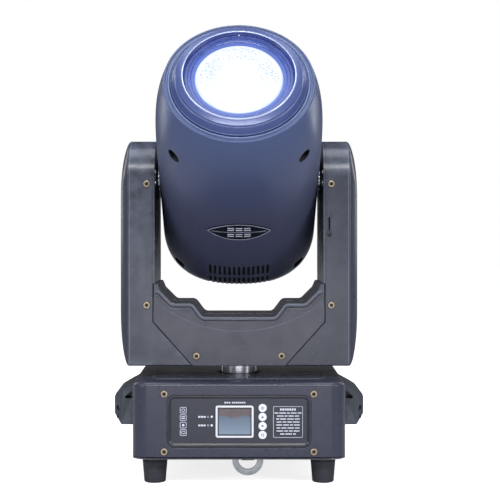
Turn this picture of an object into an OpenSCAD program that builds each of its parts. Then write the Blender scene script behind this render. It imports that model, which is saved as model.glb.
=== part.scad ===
// Moving head light: a base with its control panel, a motor-driven pan yoke and a tilting head.
// The origin is the centre of the four bracket holes in the base's underside, on the pan axis.
// +Z is up, the control panel faces -Y and the tilt axis runs along X.

/* [Base] */
// Width of the base without its side handles
base_w = 294; // [288:2:300]
// Depth of the base from the control panel to the socket panel
base_d = 240; // [236:2:250]
// Height of the base above its underside
base_h = 107; // [105:1:109]
// Radius of the base's upright corners
base_corner_r = 22; // [16:1:26]
// Wall thickness of the moulded covers
wall = 2.5; // [2:0.25:2.5]
// Height of each rubber foot
foot_h = 36; // [34.5:0.5:42]
// Distance between the bracket holes across the base
bracket_x = 106; // [100:2:112]
// Distance between the bracket holes from front to back
bracket_y = 130; // [124:2:136]
// Diameter of each bracket hole
bracket_hole_d = 8.5; // [6.5:0.5:10.5]

/* [Control panel] */
// Width of the recessed panel
panel_w = 197.4; // [190:0.2:198]
// Height of the recessed panel
panel_h = 72; // [70:1:74]
// Diameter of a menu button
button_d = 11.4; // [10:0.2:11.4]
// Distance between neighbouring menu buttons
button_pitch = 12.3; // [12.3:0.1:12.6]

/* [Yoke] */
// Overall width of the yoke
yoke_w = 336; // [334:1:340]
// Depth of the yoke arms
yoke_d = 140; // [136:2:144]
// Height of the top of the arms
arm_top = 442; // [438:1:446]
// Radius of the arms' upper corners
arm_corner_r = 52; // [40:1:56]
// Half the clear width between the arms
arm_inner = 118.7; // [118.2:0.1:119]
// Height of the yoke's underside
yoke_bottom = 122.5; // [121:0.5:123]

/* [Drive] */
// Radius of the fixed pan pulley
pan_pulley_r = 50; // [46:1:52]
// Radius of the pan motor's pulley
pan_drive_r = 10; // [9:1:11]
// Radius of the tilt pulley on the head's axle
tilt_pulley_r = 40; // [36:1:40]
// Radius of the tilt motor's pulley
tilt_drive_r = 8; // [7:1:9]

/* [Head] */
// Height of the tilt axis
tilt_z = 388; // [386:1:390]
// Angle of the optical axis forward from straight up
head_lean = 56.5; // [0:0.5:60]
// Half width of the head at its middle
head_r = 115; // [113:0.5:115]
// Distance from the tilt axis back to the head's flat end
head_rear = 131; // [131:0.5:133]
// Distance from the tilt axis to the lip of the head's shells
head_front = 220; // [218:0.5:222]
// Squareness of the head's section, where 2 is round
head_squareness = 2.5; // [2:0.1:2.8]
// Radius of the front lens
lens_r = 58.5; // [56:0.5:60]

/* [Hidden] */

$fn = 64;
hull_fn = 32;
cover_color = "#3f4350";
plate_t = 2;             // sheet metal of the bottom plate
panel_t = 2.5;           // plastic of the front and rear panels
fit = 0.05;              // radial running clearance of shafts and belts
slack = 0.4;             // gap round pieces that only pass each other

// Base
base_edge_r = 7;
foot_top_d = 36;
foot_bottom_d = 30;
foot_x = 117;
foot_y = 87;
panel_z = 52;
panel_corner_r = 10.6;
front_face = -base_d/2 + wall;     // outer face of the front panel
rear_face = base_d/2 - wall;       // outer face of the rear panel
screw_head_d = 9.5;
screw_shank_d = 4;
base_screw_x = 102.4;
base_screw_z = [10.6, 89.6];

// Panel pieces
display_x = -6;
display_z = 51.6;
window_w = 46.6;
window_h = 37.8;
frame_w = 52;
frame_h = 44;
button_x = 32.3;
button_top_z = 70.2;
button_travel = 0.8;
light_x = -37.4;
light_z = [58.2, 46.4];
light_d = 3.3;

// Sockets on the rear panel
socket_z = 52;
socket_flange = [26, 31];
socket_body_r = 12;
socket_bore_r = 9.4;
socket_bore_depth = 14;
power_x = [-80, -45];
data_x = [10, 45];
fuse_x = -15;

// Side handles: an outer skin, open below, with a solid boss at each end
handle_half = 65;
handle_web = 40;
handle_x = base_w/2;
handle_out = handle_x + 30;

// Safety ring
ring_x = 12.5;
ring_y = -55;
ring_pivot_z = -6;
ring_centre_z = -12;
ring_outer_r = 22;
ring_inner_r = 13.2;
ring_t = 5;
ring_bar_r = 4;

// Yoke
arm_outer = yoke_w/2;
arm_crease = 154.5;                // where the side cover's dome begins
frame_t = 3;
frame_x = arm_inner + wall;        // inner face of the frame's arm plates
yoke_floor = yoke_bottom + wall;
lip_z = 238.5;
seam_x = 65.5;
seam_z = 184.5;
crossbar_top = [[frame_x, lip_z], [115, lip_z], [110.8, 228.5], [93.3, 211], [65, 211], [50.7, 192]];
recess_r = 185;
recess_z = 357.2;
recess_depth = 1.5;
arm_screw_x = 130;
arm_screw_z = [208, 379];
crossbar_screw_x = 60;
crossbar_screw_z = 136.5;
lock_x = 127.2;
lock_z = [304, 332];
lock_slot_w = 3;

// Pan drive
spindle_r = 27.5;
spindle_bore_r = 22;
pan_belt_z = 150;
belt_h = 8;
belt_t = 2;
belt_end_gap = 0.3;
pan_motor_x = -88;
motor_size = 42;
pan_shelf_z = 160;
pan_motor_h = 34;

// Tilt drive
axle_r = 15;
axle_bore_r = 9;
bearing_w = 12;
tilt_belt_x = 146;
tilt_motor_z = 250;
tilt_motor_h = 19;
motor_shaft_r = 2.5;
tilt_belt_w = 6;

// Head, measured along its own optical axis from the tilt axis
rear_flat_r = 80;
rear_corner_r = head_r - rear_flat_r;
straight_end = 100;
round_start = 60;
nose_drop = 14.5;
lip_r = 91;
half_segments = 24;
chassis_x = 82;
chassis_t = 3;
chassis_y = 50;
bulkhead_w = [-20, 41, 185];
rod_x = 72;
rod_r = 4;
wheel_r = 62;
wheel_offset = 45;
wheel_t = 1.5;
color_w = 0;
gobo_w = 8;
wheel_motor_size = 34;
prism_pivot = [-50, -50];
prism_w = 56;
prism_reach = 70.7;
prism_park_angle = -10;
focus_w = 80;
zoom_w = 126;
carriage_t = 8;
fan_w = -126;
fan_size = 120;
fan_h = 25;
shell_screws = [[86.5, 159, 62], [88, -92, 67]];    // x, w and the height of the seat in y
vent_count = 13;
vent_pitch = 7;
vent_slot = 3.8;
badge_w = 36;

// ---------- shared shapes ----------

// Rectangle with round corners, centred on the origin
module rounded_rect(w, d, r) {
    square([w - 2*r, d], center = true);
    square([w, d - 2*r], center = true);
    for (x = [-1, 1], y = [-1, 1]) translate([x*(w/2 - r), y*(d/2 - r)]) circle(r);
}

// Sketch in X and Z, given a depth from y0 to y1
module upright(y0, y1) {
    translate([0, y1, 0]) rotate([90, 0, 0]) linear_extrude(y1 - y0) children();
}

// Sketch in Y and Z, given a width from x0 to x1
module sideways(x0, x1) {
    translate([x0, 0, 0]) rotate([90, 0, 90]) linear_extrude(x1 - x0) children();
}

// Cylinder along X from x0 to x1 at the given Y and Z
module rod_x(x0, x1, y, z, r) {
    translate([x0, y, z]) rotate([0, 90, 0]) cylinder(r = r, h = x1 - x0);
}

// Cylinder along Y from y0 to y1 at the given X and Z
module rod_y(y0, y1, x, z, r) {
    translate([x, y1, z]) rotate([90, 0, 0]) cylinder(r = r, h = y1 - y0);
}

// Cap screw with a hexagon socket; its head stands out along +Z from the origin
module cap_screw(shank) {
    difference() {
        union() {
            cylinder(d = screw_head_d, h = 1.8);
            translate([0, 0, -shank]) cylinder(d = screw_shank_d, h = shank);
        }
        translate([0, 0, 0.6]) cylinder(d = 4.6, h = 2, $fn = 6);
    }
}

// Belt round two pulleys that stand along Z at the origin and at [d, 0]
module belt(r1, r2, d, h) {
    linear_extrude(h) difference() {
        belt_outline(r1 + belt_t, r2 + belt_t, d);
        belt_outline(r1 + 0.08, r2 + 0.08, d);
    }
}

module belt_outline(r1, r2, d) {
    hull() {
        circle(r1, $fn = 128);
        translate([d, 0]) circle(r2, $fn = 128);
    }
}

// Stepper motor with its shaft side at z = 0 and its body below
module stepper(size, h, bore_depth) {
    difference() {
        translate([-size/2, -size/2, -h]) cube([size, size, h]);
        translate([0, 0, -bore_depth]) cylinder(r = motor_shaft_r + fit, h = bore_depth + 1);
    }
}

// Flanged belt pulley on its own shaft, along Z, with its belt face from 0 to h
module motor_pulley(r, h, shaft_back, shaft_front) {
    cylinder(r = r, h = h);
    for (z = [-1, h]) translate([0, 0, z]) cylinder(r = r + belt_t, h = 1);
    translate([0, 0, -shaft_back]) cylinder(r = motor_shaft_r, h = shaft_back + h + shaft_front);
}

// ---------- base ----------

// Upright body with round corners and a rounded top edge
module base_form(inset, z0, top, edge_r) {
    hull() {
        translate([0, 0, z0]) linear_extrude(top - edge_r - z0)
            rounded_rect(base_w - 2*inset, base_d - 2*inset, base_corner_r - inset, $fn = hull_fn);
        for (a = [30, 60, 90])
            translate([0, 0, top - edge_r + edge_r*sin(a) - 0.01]) linear_extrude(0.01)
                rounded_rect(base_w - 2*inset - 2*edge_r*(1 - cos(a)),
                             base_d - 2*inset - 2*edge_r*(1 - cos(a)),
                             base_corner_r - inset, $fn = hull_fn);
    }
}

module base_shell() {
    color(cover_color) difference() {
        base_form(0, plate_t, base_h, base_edge_r);
        base_form(wall, plate_t - 1, base_h - wall, base_edge_r - wall);
        for (y = [[-base_d/2 - 1, front_face + 0.2], [rear_face - 0.2, base_d/2 + 1]])
            upright(y[0], y[1]) translate([0, panel_z]) rounded_rect(panel_w, panel_h, panel_corner_r);
        cylinder(r = spindle_r + slack, h = base_h + 1);
        for (x = [-1, 1], z = base_screw_z)
            rod_y(-base_d/2 - 1, base_d/2 + 1, x*base_screw_x, z, screw_shank_d/2);
    }
}

module bottom_plate() {
    color("#50535c") difference() {
        union() {
            linear_extrude(plate_t) rounded_rect(base_w, base_d, base_corner_r);
            for (x = [-1, 1], y = [-1, 1])
                translate([x*bracket_x/2, y*bracket_y/2, plate_t]) cylinder(r = 11, h = 8);
        }
        for (x = [-1, 1], y = [-1, 1])
            translate([x*bracket_x/2, y*bracket_y/2, -1]) cylinder(d = bracket_hole_d, h = 12);
    }
}

// Panel plate that closes an opening from inside
module panel_plate(face, inward) {
    upright(min(face, face + inward*panel_t), max(face, face + inward*panel_t))
        translate([0, panel_z]) rounded_rect(panel_w + 8, panel_h + 8, panel_corner_r + 4);
}

module front_panel() {
    color("#4d5467") difference() {
        panel_plate(front_face, 1);
        upright(front_face - 1, front_face + panel_t + 1) translate([display_x, display_z])
            square([window_w + 1, window_h + 1], center = true);
        for (i = [0:3])
            rod_y(front_face - 1, front_face + panel_t + 1, button_x, button_top_z - i*button_pitch,
                  button_d/2 + 0.09);
        for (z = light_z) rod_y(front_face - 1, front_face + panel_t + 1, light_x, z, light_d/2);
    }
}

module display_screen() {
    color("#7d8d99") upright(front_face - 0.4, front_face + 5) translate([display_x, display_z])
        square([window_w, window_h], center = true);
}

module display_frame() {
    color("white") upright(front_face - 1, front_face) translate([display_x, display_z]) difference() {
        rounded_rect(frame_w, frame_h, 3);
        square([window_w, window_h], center = true);
    }
}

module status_lights() {
    color("#c9cede") for (z = light_z) rod_y(front_face - 0.6, front_face + 5, light_x, z, light_d/2);
}

// Round button: a cap in its bore, and a flange that keeps it behind the panel
module button(i) {
    z = button_top_z - i*button_pitch;
    back = front_face + panel_t;
    color("white") {
        rod_y(front_face - 1.6, back + slack + 0.1, button_x, z, button_d/2);
        rod_y(back + slack, back + slack + 1.2, button_x, z, button_pitch/2 - 0.15);
    }
}

module menu_button() { button(0); }
module up_button() { button(1); }
module down_button() { button(2); }
module enter_button() { button(3); }

// The keypad board behind the front panel and the main board over the bottom plate
module control_boards() {
    keypad_y = front_face + 5;
    color("#1f5a38") {
        translate([-45, keypad_y, 20]) cube([95, 1.6, 66]);
        translate([10, -56, 40]) cube([115, 112, 1.6]);
    }
    color("silver") for (x = [16, 119], y = [-50, 50])
        translate([x, y, plate_t]) cylinder(r = 3, h = 40 - plate_t);
}

module power_supply() {
    color("silver") translate([-128, -52, plate_t]) cube([60, 130, 52]);
}

module rear_panel() {
    color("#4d5467") difference() {
        panel_plate(rear_face, -1);
        for (x = concat(power_x, data_x))
            rod_y(rear_face - panel_t - 1, rear_face + 1, x, socket_z, socket_body_r);
        rod_y(rear_face - panel_t - 1, rear_face + 1, fuse_x, socket_z, 6);
    }
}

// Panel socket: square flange, round body and a round opening for the plug
module socket(x) {
    difference() {
        union() {
            upright(rear_face, rear_face + 2) translate([x, socket_z])
                rounded_rect(socket_flange[0], socket_flange[1], 3);
            rod_y(rear_face - 20, rear_face, x, socket_z, socket_body_r);
        }
        rod_y(rear_face + 2 - socket_bore_depth, rear_face + 3, x, socket_z, socket_bore_r);
    }
}

// Mains inlet and link outlet, with the fuse between them and the data sockets
module power_sockets() {
    color("#2c5fa8") for (x = power_x) socket(x);
    color("black") {
        rod_y(rear_face - 22, rear_face, fuse_x, socket_z, 6);
        rod_y(rear_face, rear_face + 4, fuse_x, socket_z, 8);
    }
}

module data_sockets() {
    color("#22252b") for (x = data_x) socket(x);
}

// Outline of a handle in X and Z, from the base's side outwards
module handle_outline() {
    polygon([
        [handle_x, 39.5], [handle_x + 19, 39.5], [handle_out, 54], [handle_out, 77],
        [handle_out - 2.4, 83], [handle_out - 12.6, 88.5], [handle_x + 1.8, 97], [handle_x, 97]
    ]);
}

// Room for the fingers, open at the bottom
module finger_room() {
    polygon([
        [handle_x - 1, 30], [handle_x + 20, 30], [handle_x + 20, 58], [handle_x + 21, 72],
        [handle_x + 12, 83.5], [handle_x + 6, 88], [handle_x - 1, 88]
    ]);
}

module handle() {
    color("#454956") difference() {
        intersection() {
            upright(-handle_half, handle_half) handle_outline();
            linear_extrude(base_h) polygon([
                [handle_x, -handle_half], [handle_x + 19, -handle_half], [handle_out, -handle_half + 15],
                [handle_out, handle_half - 15], [handle_x + 19, handle_half], [handle_x, handle_half]
            ]);
        }
        upright(-handle_web + 3, handle_web - 3) finger_room();
        for (s = [-1, 1]) {
            upright(min(s*handle_web, s*70), max(s*handle_web, s*70))
                polygon([
                    [handle_x + 4, 76.2], [handle_x + 13, 76.2], [handle_x + 14, 79], [handle_x + 4, 87.7]
                ]);
        }
    }
}

module right_handle() { handle(); }
module left_handle() { mirror([1, 0, 0]) handle(); }

module feet() {
    color("#33353c") for (x = [-1, 1], y = [-1, 1]) translate([x*foot_x, y*foot_y, -foot_h])
        cylinder(d1 = foot_bottom_d, d2 = foot_top_d, h = foot_h);
}

module base_screws() {
    color("#9a7a55") for (x = [-1, 1], z = base_screw_z) {
        translate([x*base_screw_x, -base_d/2, z]) rotate([90, 0, 0]) cap_screw(6);
        translate([x*base_screw_x, base_d/2, z]) rotate([-90, 0, 0]) cap_screw(6);
    }
}

// Bridge under the base that holds the safety ring's bar
module ring_saddle() {
    color("#50535c") difference() {
        translate([ring_x - 9, ring_y - 9, ring_pivot_z - 6]) cube([18, 18, 6 - ring_pivot_z]);
        rod_x(ring_x - 10, ring_x + 10, ring_y, ring_pivot_z, ring_bar_r + fit);
        for (s = [-1, 1]) translate([ring_x - 10, ring_y + s*9.5, ring_pivot_z - 6]) rotate([45, 0, 0])
            translate([0, -3, -3]) cube([20, 6, 6]);
    }
}

// D-shaped ring that hangs from its straight bar
module safety_ring() {
    color("silver") {
        rod_x(ring_x - 13, ring_x + 13, ring_y, ring_pivot_z, ring_bar_r);
        upright(ring_y - ring_t/2, ring_y + ring_t/2) translate([ring_x, ring_centre_z]) difference() {
            circle(ring_outer_r);
            circle(ring_inner_r);
            translate([-30, ring_pivot_z - ring_centre_z]) square([60, 40]);
        }
        for (s = [-1, 1])
            rod_x(ring_x + s*16.2 - 4.8, ring_x + s*16.2 + 4.8, ring_y, ring_pivot_z, ring_t/2 + 0.6);
    }
}

module pan_spindle() {
    color("#c8ccd0") difference() {
        union() {
            translate([0, 0, base_h - wall - 6]) cylinder(r = 45, h = 6);
            translate([0, 0, base_h - wall - 6]) cylinder(r = spindle_r, h = 70);
        }
        translate([0, 0, base_h - wall - 7]) cylinder(r = spindle_bore_r, h = 80);
    }
}

module pan_pulley() {
    color("#b9bdc4") translate([0, 0, pan_belt_z]) difference() {
        cylinder(r = pan_pulley_r, h = belt_h);
        translate([0, 0, -1]) cylinder(r = spindle_r + 0.02, h = belt_h + 2);
        for (a = [0:60:300]) rotate(a) translate([39, 0, -1]) cylinder(r = 6, h = belt_h + 2);
    }
}

// ---------- yoke ----------

// Side view of an arm in Y and Z, with round upper corners
module arm_side(half_d, bottom, top, r) {
    translate([-half_d, bottom]) square([2*half_d, top - r - bottom]);
    translate([-half_d + r, top - r]) square([2*(half_d - r), r]);
    for (s = [-1, 1]) translate([s*(half_d - r), top - r]) circle(r);
}

// Front view of an arm in X and Z, with the foot that reaches under the crossbar
module arm_front() {
    polygon([
        [arm_crease, yoke_bottom], [arm_crease, arm_top], [arm_inner, arm_top], [arm_inner, lip_z],
        [frame_x, lip_z], [frame_x, seam_z], [seam_x, yoke_bottom]
    ]);
}

// Hollow of an arm, open towards the side cover and the crossbar
module arm_hollow() {
    polygon([
        [arm_crease + 1, yoke_floor], [arm_crease + 1, arm_top - wall], [frame_x, arm_top - wall],
        [frame_x, lip_z], [frame_x - 10, lip_z], [frame_x - 10, seam_z], [seam_x - 15, yoke_floor]
    ]);
}

module arm_housing() {
    difference() {
        intersection() {
            upright(-yoke_d/2, yoke_d/2) arm_front();
            sideways(0, arm_crease) arm_side(yoke_d/2, yoke_bottom, arm_top, arm_corner_r);
        }
        intersection() {
            upright(-yoke_d/2 + wall, yoke_d/2 - wall) arm_hollow();
            sideways(0, arm_crease + 1)
                arm_side(yoke_d/2 - wall, yoke_bottom, arm_top - wall, arm_corner_r - wall);
        }
        rod_x(arm_inner - 1, frame_x + 1, 0, tilt_z, axle_r + 2);
        for (z = arm_screw_z) rod_y(-yoke_d/2 - 1, yoke_d/2 + 1, arm_screw_x, z, screw_shank_d/2);
    }
}

module left_arm_housing() { color(cover_color) mirror([1, 0, 0]) arm_housing(); }

// The right arm also has the slot of the tilt lock
module right_arm_housing() {
    color(cover_color) difference() {
        arm_housing();
        translate([lock_x - lock_slot_w/2, -yoke_d/2 - 1, lock_z[0]])
            cube([lock_slot_w, wall + 2, lock_z[1] - lock_z[0]]);
    }
}

// Stack of side views that the domed side cover is stretched over
module arm_dome(inset) {
    steps = [
        [arm_crease, yoke_d/2, yoke_bottom, arm_top, arm_corner_r],
        [arm_crease + 4.5, yoke_d/2 - 4, yoke_bottom + 5.5, arm_top - 4.5, arm_corner_r - 4],
        [arm_outer - 3, yoke_d/2 - 10, yoke_bottom + 23.5, arm_top - 23, arm_corner_r - 8],
        [arm_outer, yoke_d/2 - 17, yoke_bottom + 49.5, arm_top - 45, arm_corner_r - 12]
    ];
    hull() for (i = [0:3]) {
        s = steps[i];
        x = i == 0 ? s[0] - inset*0.1 : s[0] - inset;
        sideways(x - (i == 0 ? 0 : 0.01), x + (i == 0 ? 0.01 : 0))
            arm_side(s[1] - inset, s[2] + inset, s[3] - inset, s[4] - inset, $fn = hull_fn);
    }
}

module arm_cover() {
    color(cover_color) difference() {
        arm_dome(0);
        arm_dome(wall);
    }
}

module right_arm_cover() { arm_cover(); }
module left_arm_cover() { mirror([1, 0, 0]) arm_cover(); }

// Front view of the crossbar, lowered by drop along its top
module crossbar_outline(drop, bottom, side) {
    top = [for (p = crossbar_top) [p[0] + (p[0] > arm_inner ? side : 0), p[1] - drop]];
    right = concat(top, [for (i = [len(top) - 1:-1:0]) [-top[i][0], top[i][1]]]);
    polygon(concat(right, bottom));
}

module crossbar_cover() {
    floor_line = [[-frame_x, seam_z], [-seam_x, yoke_bottom], [seam_x, yoke_bottom], [frame_x, seam_z]];
    hollow_line = [[-frame_x - 9, yoke_floor], [frame_x + 9, yoke_floor]];
    color(cover_color) difference() {
        upright(-yoke_d/2, 0) crossbar_outline(0, floor_line, 0);
        upright(-yoke_d/2 + wall, 1) crossbar_outline(3, hollow_line, 9);
        rod_y(-yoke_d/2 - 1, -yoke_d/2 + recess_depth, 0, recess_z, recess_r, $fn = 128);
        cylinder(r = spindle_r + 4.5, h = yoke_floor + 1);
        for (s = [-1, 1])
            rod_y(-yoke_d/2 - 1, -yoke_d/2 + wall + 1, s*crossbar_screw_x, crossbar_screw_z,
                  screw_shank_d/2);
    }
}

module crossbar_front_cover() { crossbar_cover(); }
module crossbar_rear_cover() { mirror([0, 1, 0]) crossbar_cover(); }

// Steel frame: a floor plate, two arm plates and the pan motor's shelf
module yoke_frame() {
    color("#8d9198") difference() {
        union() {
            translate([-frame_x, -50, yoke_floor]) cube([2*frame_x, 100, frame_t]);
            for (s = [-1, 1]) {
                x = s > 0 ? frame_x : -frame_x - frame_t;
                translate([x, -42, yoke_floor]) cube([frame_t, 84, tilt_z - yoke_floor]);
                rod_x(x, x + frame_t, 0, tilt_z, 42);
            }
            translate([pan_motor_x - 24, -26, pan_shelf_z]) cube([46, 52, frame_t]);
            for (y = [-26, 24]) translate([pan_motor_x - 24, y, yoke_floor])
                cube([32, 2, pan_shelf_z - yoke_floor + 1]);
        }
        translate([0, 0, yoke_floor - 1]) cylinder(r = spindle_r + 3, h = frame_t + 2);
        translate([pan_motor_x, 0, pan_shelf_z - 1]) cylinder(r = 6, h = frame_t + 2);
        rod_x(-frame_x - frame_t - 1, frame_x + frame_t + 1, 0, tilt_z, axle_r + 2);
    }
}

module pan_bearing() {
    color("#a9adb4") translate([0, 0, yoke_floor + frame_t]) difference() {
        cylinder(r = 40, h = 14);
        translate([0, 0, -1]) cylinder(r = spindle_r + fit, h = 16);
    }
}

module tilt_bearings() {
    color("#a9adb4") for (s = [-1, 1]) {
        x = s > 0 ? frame_x + frame_t : -frame_x - frame_t - bearing_w;
        difference() {
            rod_x(x, x + bearing_w, 0, tilt_z, 26);
            rod_x(x - 1, x + bearing_w + 1, 0, tilt_z, axle_r + fit);
        }
    }
}

// Pan motor on its shelf and tilt motor on the right arm plate
module drive_motors() {
    color("#2b2d33") {
        translate([pan_motor_x, 0, pan_shelf_z + frame_t]) rotate([180, 0, 0])
            stepper(motor_size, pan_motor_h, 8);
        translate([frame_x + frame_t + tilt_motor_h, 0, tilt_motor_z]) rotate([0, 90, 0])
            stepper(motor_size, tilt_motor_h, 8);
    }
}

module pan_motor_pulley() {
    color("#b9bdc4") translate([pan_motor_x, 0, pan_belt_z])
        motor_pulley(pan_drive_r, belt_h, 2, pan_shelf_z - pan_belt_z - belt_h + frame_t + 5);
}

module tilt_motor_pulley() {
    back = tilt_belt_x - (frame_x + frame_t + tilt_motor_h);
    color("#b9bdc4") translate([tilt_belt_x, 0, tilt_motor_z]) rotate([0, 90, 0])
        motor_pulley(tilt_drive_r, tilt_belt_w, back + 5, 2);
}

module pan_belt() {
    color("#1c1d20") translate([0, 0, pan_belt_z + belt_end_gap])
        belt(pan_pulley_r, pan_drive_r, pan_motor_x, belt_h - 2*belt_end_gap);
}

module tilt_belt() {
    color("#1c1d20") translate([tilt_belt_x + belt_end_gap, 0, tilt_z]) rotate([0, 90, 0])
        belt(tilt_pulley_r, tilt_drive_r, tilt_z - tilt_motor_z, tilt_belt_w - 2*belt_end_gap);
}

// Knob of the tilt lock, with its stem through the slot and a guide plate behind the wall
module tilt_lock() {
    z = lock_z[0] + 5;
    color("#2b2d33") {
        rod_y(-yoke_d/2 - 3, -yoke_d/2 - slack, lock_x, z, 3.2);
        translate([lock_x - 1.1, -yoke_d/2 - 1, z - 4]) cube([2.2, wall + 1.5, 8]);
        translate([lock_x - 2.6, -yoke_d/2 + wall + slack, z - 6]) cube([5.2, 1.5, 12]);
    }
}

module yoke_screws() {
    color("#9a7a55") for (s = [-1, 1], turn = [0, 180]) rotate(turn) {
        for (z = arm_screw_z) translate([s*arm_screw_x, -yoke_d/2, z]) rotate([90, 0, 0]) cap_screw(6);
        translate([s*crossbar_screw_x, -yoke_d/2, crossbar_screw_z]) rotate([90, 0, 0]) cap_screw(6);
    }
}

// ---------- head ----------

// Puts a piece that is drawn along the optical axis into its place on the tilt axis
module in_head() {
    translate([0, 0, tilt_z]) rotate([head_lean, 0, 0]) children();
}

function ease(t) = let(u = min(max(t, 0), 1)) u*u*(3 - 2*u);
function squareness(w) =
    head_squareness - (head_squareness - 2)*ease((w - round_start)/(head_front - round_start));
function nose_curve(w) =
    head_r - nose_drop*pow(max(w - straight_end, 0)/(head_front - straight_end), 3);
function signed_pow(v, e) = sign(v)*pow(abs(v), e);
function section_point(w, r, a) =
    [r*signed_pow(cos(a), 2/squareness(w)), r*signed_pow(sin(a), 2/squareness(w)), w];

// Section of a shell as [w, r] points: along the outside to the lip, and back along the inside
shell_profile = concat(
    [[-head_rear, rear_flat_r - wall]],
    [for (a = [0:15:90]) [-head_rear + rear_corner_r*(1 - cos(a)), rear_flat_r + rear_corner_r*sin(a)]],
    [for (t = [0:1/6:1.01]) let(w = straight_end + t*(head_front - straight_end)) [w, nose_curve(w)]],
    [[head_front, lip_r], [head_front - wall, lip_r]],
    [let(w = head_front - wall) [w, nose_curve(w) - wall]],
    [for (t = [5:-1:0]) let(w = straight_end + t/6*(head_front - straight_end))
        [w, nose_curve(w) - wall]],
    [for (a = [90:-15:0]) [-head_rear + rear_corner_r - (rear_corner_r - wall)*cos(a),
                           rear_flat_r + (rear_corner_r - wall)*sin(a)]],
    [[-head_rear + wall, rear_flat_r - wall]]
);

// Half of the head's casing, on the side of negative y
module half_shell() {
    n = len(shell_profile);
    points = [for (j = [0:half_segments], p = shell_profile)
        section_point(p[0], p[1], 180 + 180*j/half_segments)];
    sides = [for (j = [0:half_segments - 1], k = [0:n - 1]) let(m = (k + 1) % n)
        each [[j*n + k, (j + 1)*n + k, j*n + m], [j*n + m, (j + 1)*n + k, (j + 1)*n + m]]];
    first = [for (k = [0:n - 1]) k];
    last = [for (k = [n - 1:-1:0]) half_segments*n + k];
    polyhedron(points, concat(sides, [first, last]), convexity = 4);
}

// Half shell with its vents, screw holes and the openings for the tilt axle
module vented_half() {
    first = -(vent_count - 1)/2*vent_pitch;
    difference() {
        half_shell();
        rod_x(-head_r - 5, head_r + 5, 0, 0, axle_r + 2, $fn = 12);
        for (i = [0:vent_count - 1], row = [[-120, -87], [-83.5, -57]])
            translate([first + i*vent_pitch - vent_slot/2, -head_r - 5, row[0]])
                cube([vent_slot, 55, row[1] - row[0]]);
        for (s = [-1, 1], p = shell_screws)
            rod_y(-head_r - 5, -40, s*p[0], p[1], 7.4, $fn = 12);
    }
}

module head_front_shell() { color("#4a506a") in_head() vented_half(); }
module head_rear_shell() { color("#4a506a") in_head() mirror([0, 1, 0]) vented_half(); }

// Grille that closes the flat end behind the fan
module rear_grille() {
    r = rear_flat_r - wall - slack;
    color("#2b2d33") in_head() translate([0, 0, -head_rear]) difference() {
        linear_extrude(wall) polygon([for (a = [0:6:354]) let(p = section_point(0, r, a)) [p[0], p[1]]]);
        for (i = [-6:6]) translate([i*10 - 2.5, -0.9*sqrt(r*r - 100*i*i), -1])
            cube([5, 1.8*sqrt(r*r - 100*i*i), wall + 2]);
    }
}

// Bezel and lens barrel, from the front bulkhead to the lip of the head
module nose_ring() {
    base = bulkhead_w[2] + chassis_t;
    color("#5a6079") in_head() rotate_extrude($fn = 128) polygon([
        [84, base], [lip_r - 1, base], [lip_r - 1, head_front + 0.8], [84, head_front + 12.4],
        [73.9, head_front + 16], [72.5, head_front + 14], [71, head_front + 8], [65, head_front + 7],
        [62, head_front + 6], [lens_r + 0.1, head_front + 6], [lens_r + 0.1, head_front - 2],
        [lens_r - 3, head_front - 2], [lens_r - 3, head_front - 6], [84, head_front - 6]
    ]);
}

// Front lens: a thick disc with a domed face
module front_lens() {
    rim = head_front + 5;
    dome_r = 200;
    color("white") in_head() intersection() {
        translate([0, 0, head_front - 2]) cylinder(r = lens_r, h = 30);
        translate([0, 0, rim - sqrt(dome_r*dome_r - lens_r*lens_r)]) sphere(r = dome_r, $fn = 128);
    }
}

// Side plates, three bulkheads and the posts that carry the shells
module head_chassis() {
    length = bulkhead_w[2] + 1 + 98;
    light_r = [30, 25, 57];
    color("#8d9198") in_head() difference() {
        union() {
            for (s = [-1, 1]) translate([s > 0 ? chassis_x : -chassis_x - chassis_t, -chassis_y, -98])
                cube([chassis_t, 2*chassis_y, length]);
            for (i = [0, 1]) translate([-chassis_x - 1, -70, bulkhead_w[i]])
                cube([2*chassis_x + 2, 140, chassis_t]);
            translate([0, 0, bulkhead_w[2]]) cylinder(r = 95, h = chassis_t);
            for (x = [-1, 1], y = [-1, 1], p = shell_screws)
                rod_y(y > 0 ? 45 : -p[2], y > 0 ? p[2] : -45, x*p[0], p[1], 6.5);
            translate([prism_pivot[0], prism_pivot[1], bulkhead_w[1]]) cylinder(r = 3, h = 22);
        }
        for (i = [0:2]) translate([0, 0, bulkhead_w[i] - 1]) cylinder(r = light_r[i], h = chassis_t + 2);
        for (s = [-1, 1], w = [-80, -50, 66, 110, 155]) translate([0, 0, w])
            rod_x(s*chassis_x - 5, s*chassis_x + 5, 0, 0, 12);
    }
}

module guide_rods() {
    color("silver") in_head() for (s = [-1, 1]) translate([s*rod_x, 0, bulkhead_w[1] + chassis_t])
        cylinder(r = rod_r, h = bulkhead_w[2] - bulkhead_w[1] - chassis_t);
}

// Hollow stub axles: a short one on the left and a long one that carries the tilt pulley
module tilt_axles() {
    inner = chassis_x + chassis_t;
    left_end = -frame_x - frame_t - bearing_w - 3;
    right_end = tilt_belt_x + tilt_belt_w + 4;
    color("#c8ccd0") for (span = [[left_end, -inner], [inner, right_end]])
        difference() {
            rod_x(span[0], span[1], 0, tilt_z, axle_r);
            rod_x(span[0] - 1, span[1] + 1, 0, tilt_z, axle_bore_r);
        }
}

module tilt_pulley() {
    color("#b9bdc4") difference() {
        rod_x(tilt_belt_x, tilt_belt_x + tilt_belt_w, 0, tilt_z, tilt_pulley_r);
        rod_x(tilt_belt_x - 1, tilt_belt_x + tilt_belt_w + 1, 0, tilt_z, axle_r + 0.02);
    }
}

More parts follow.
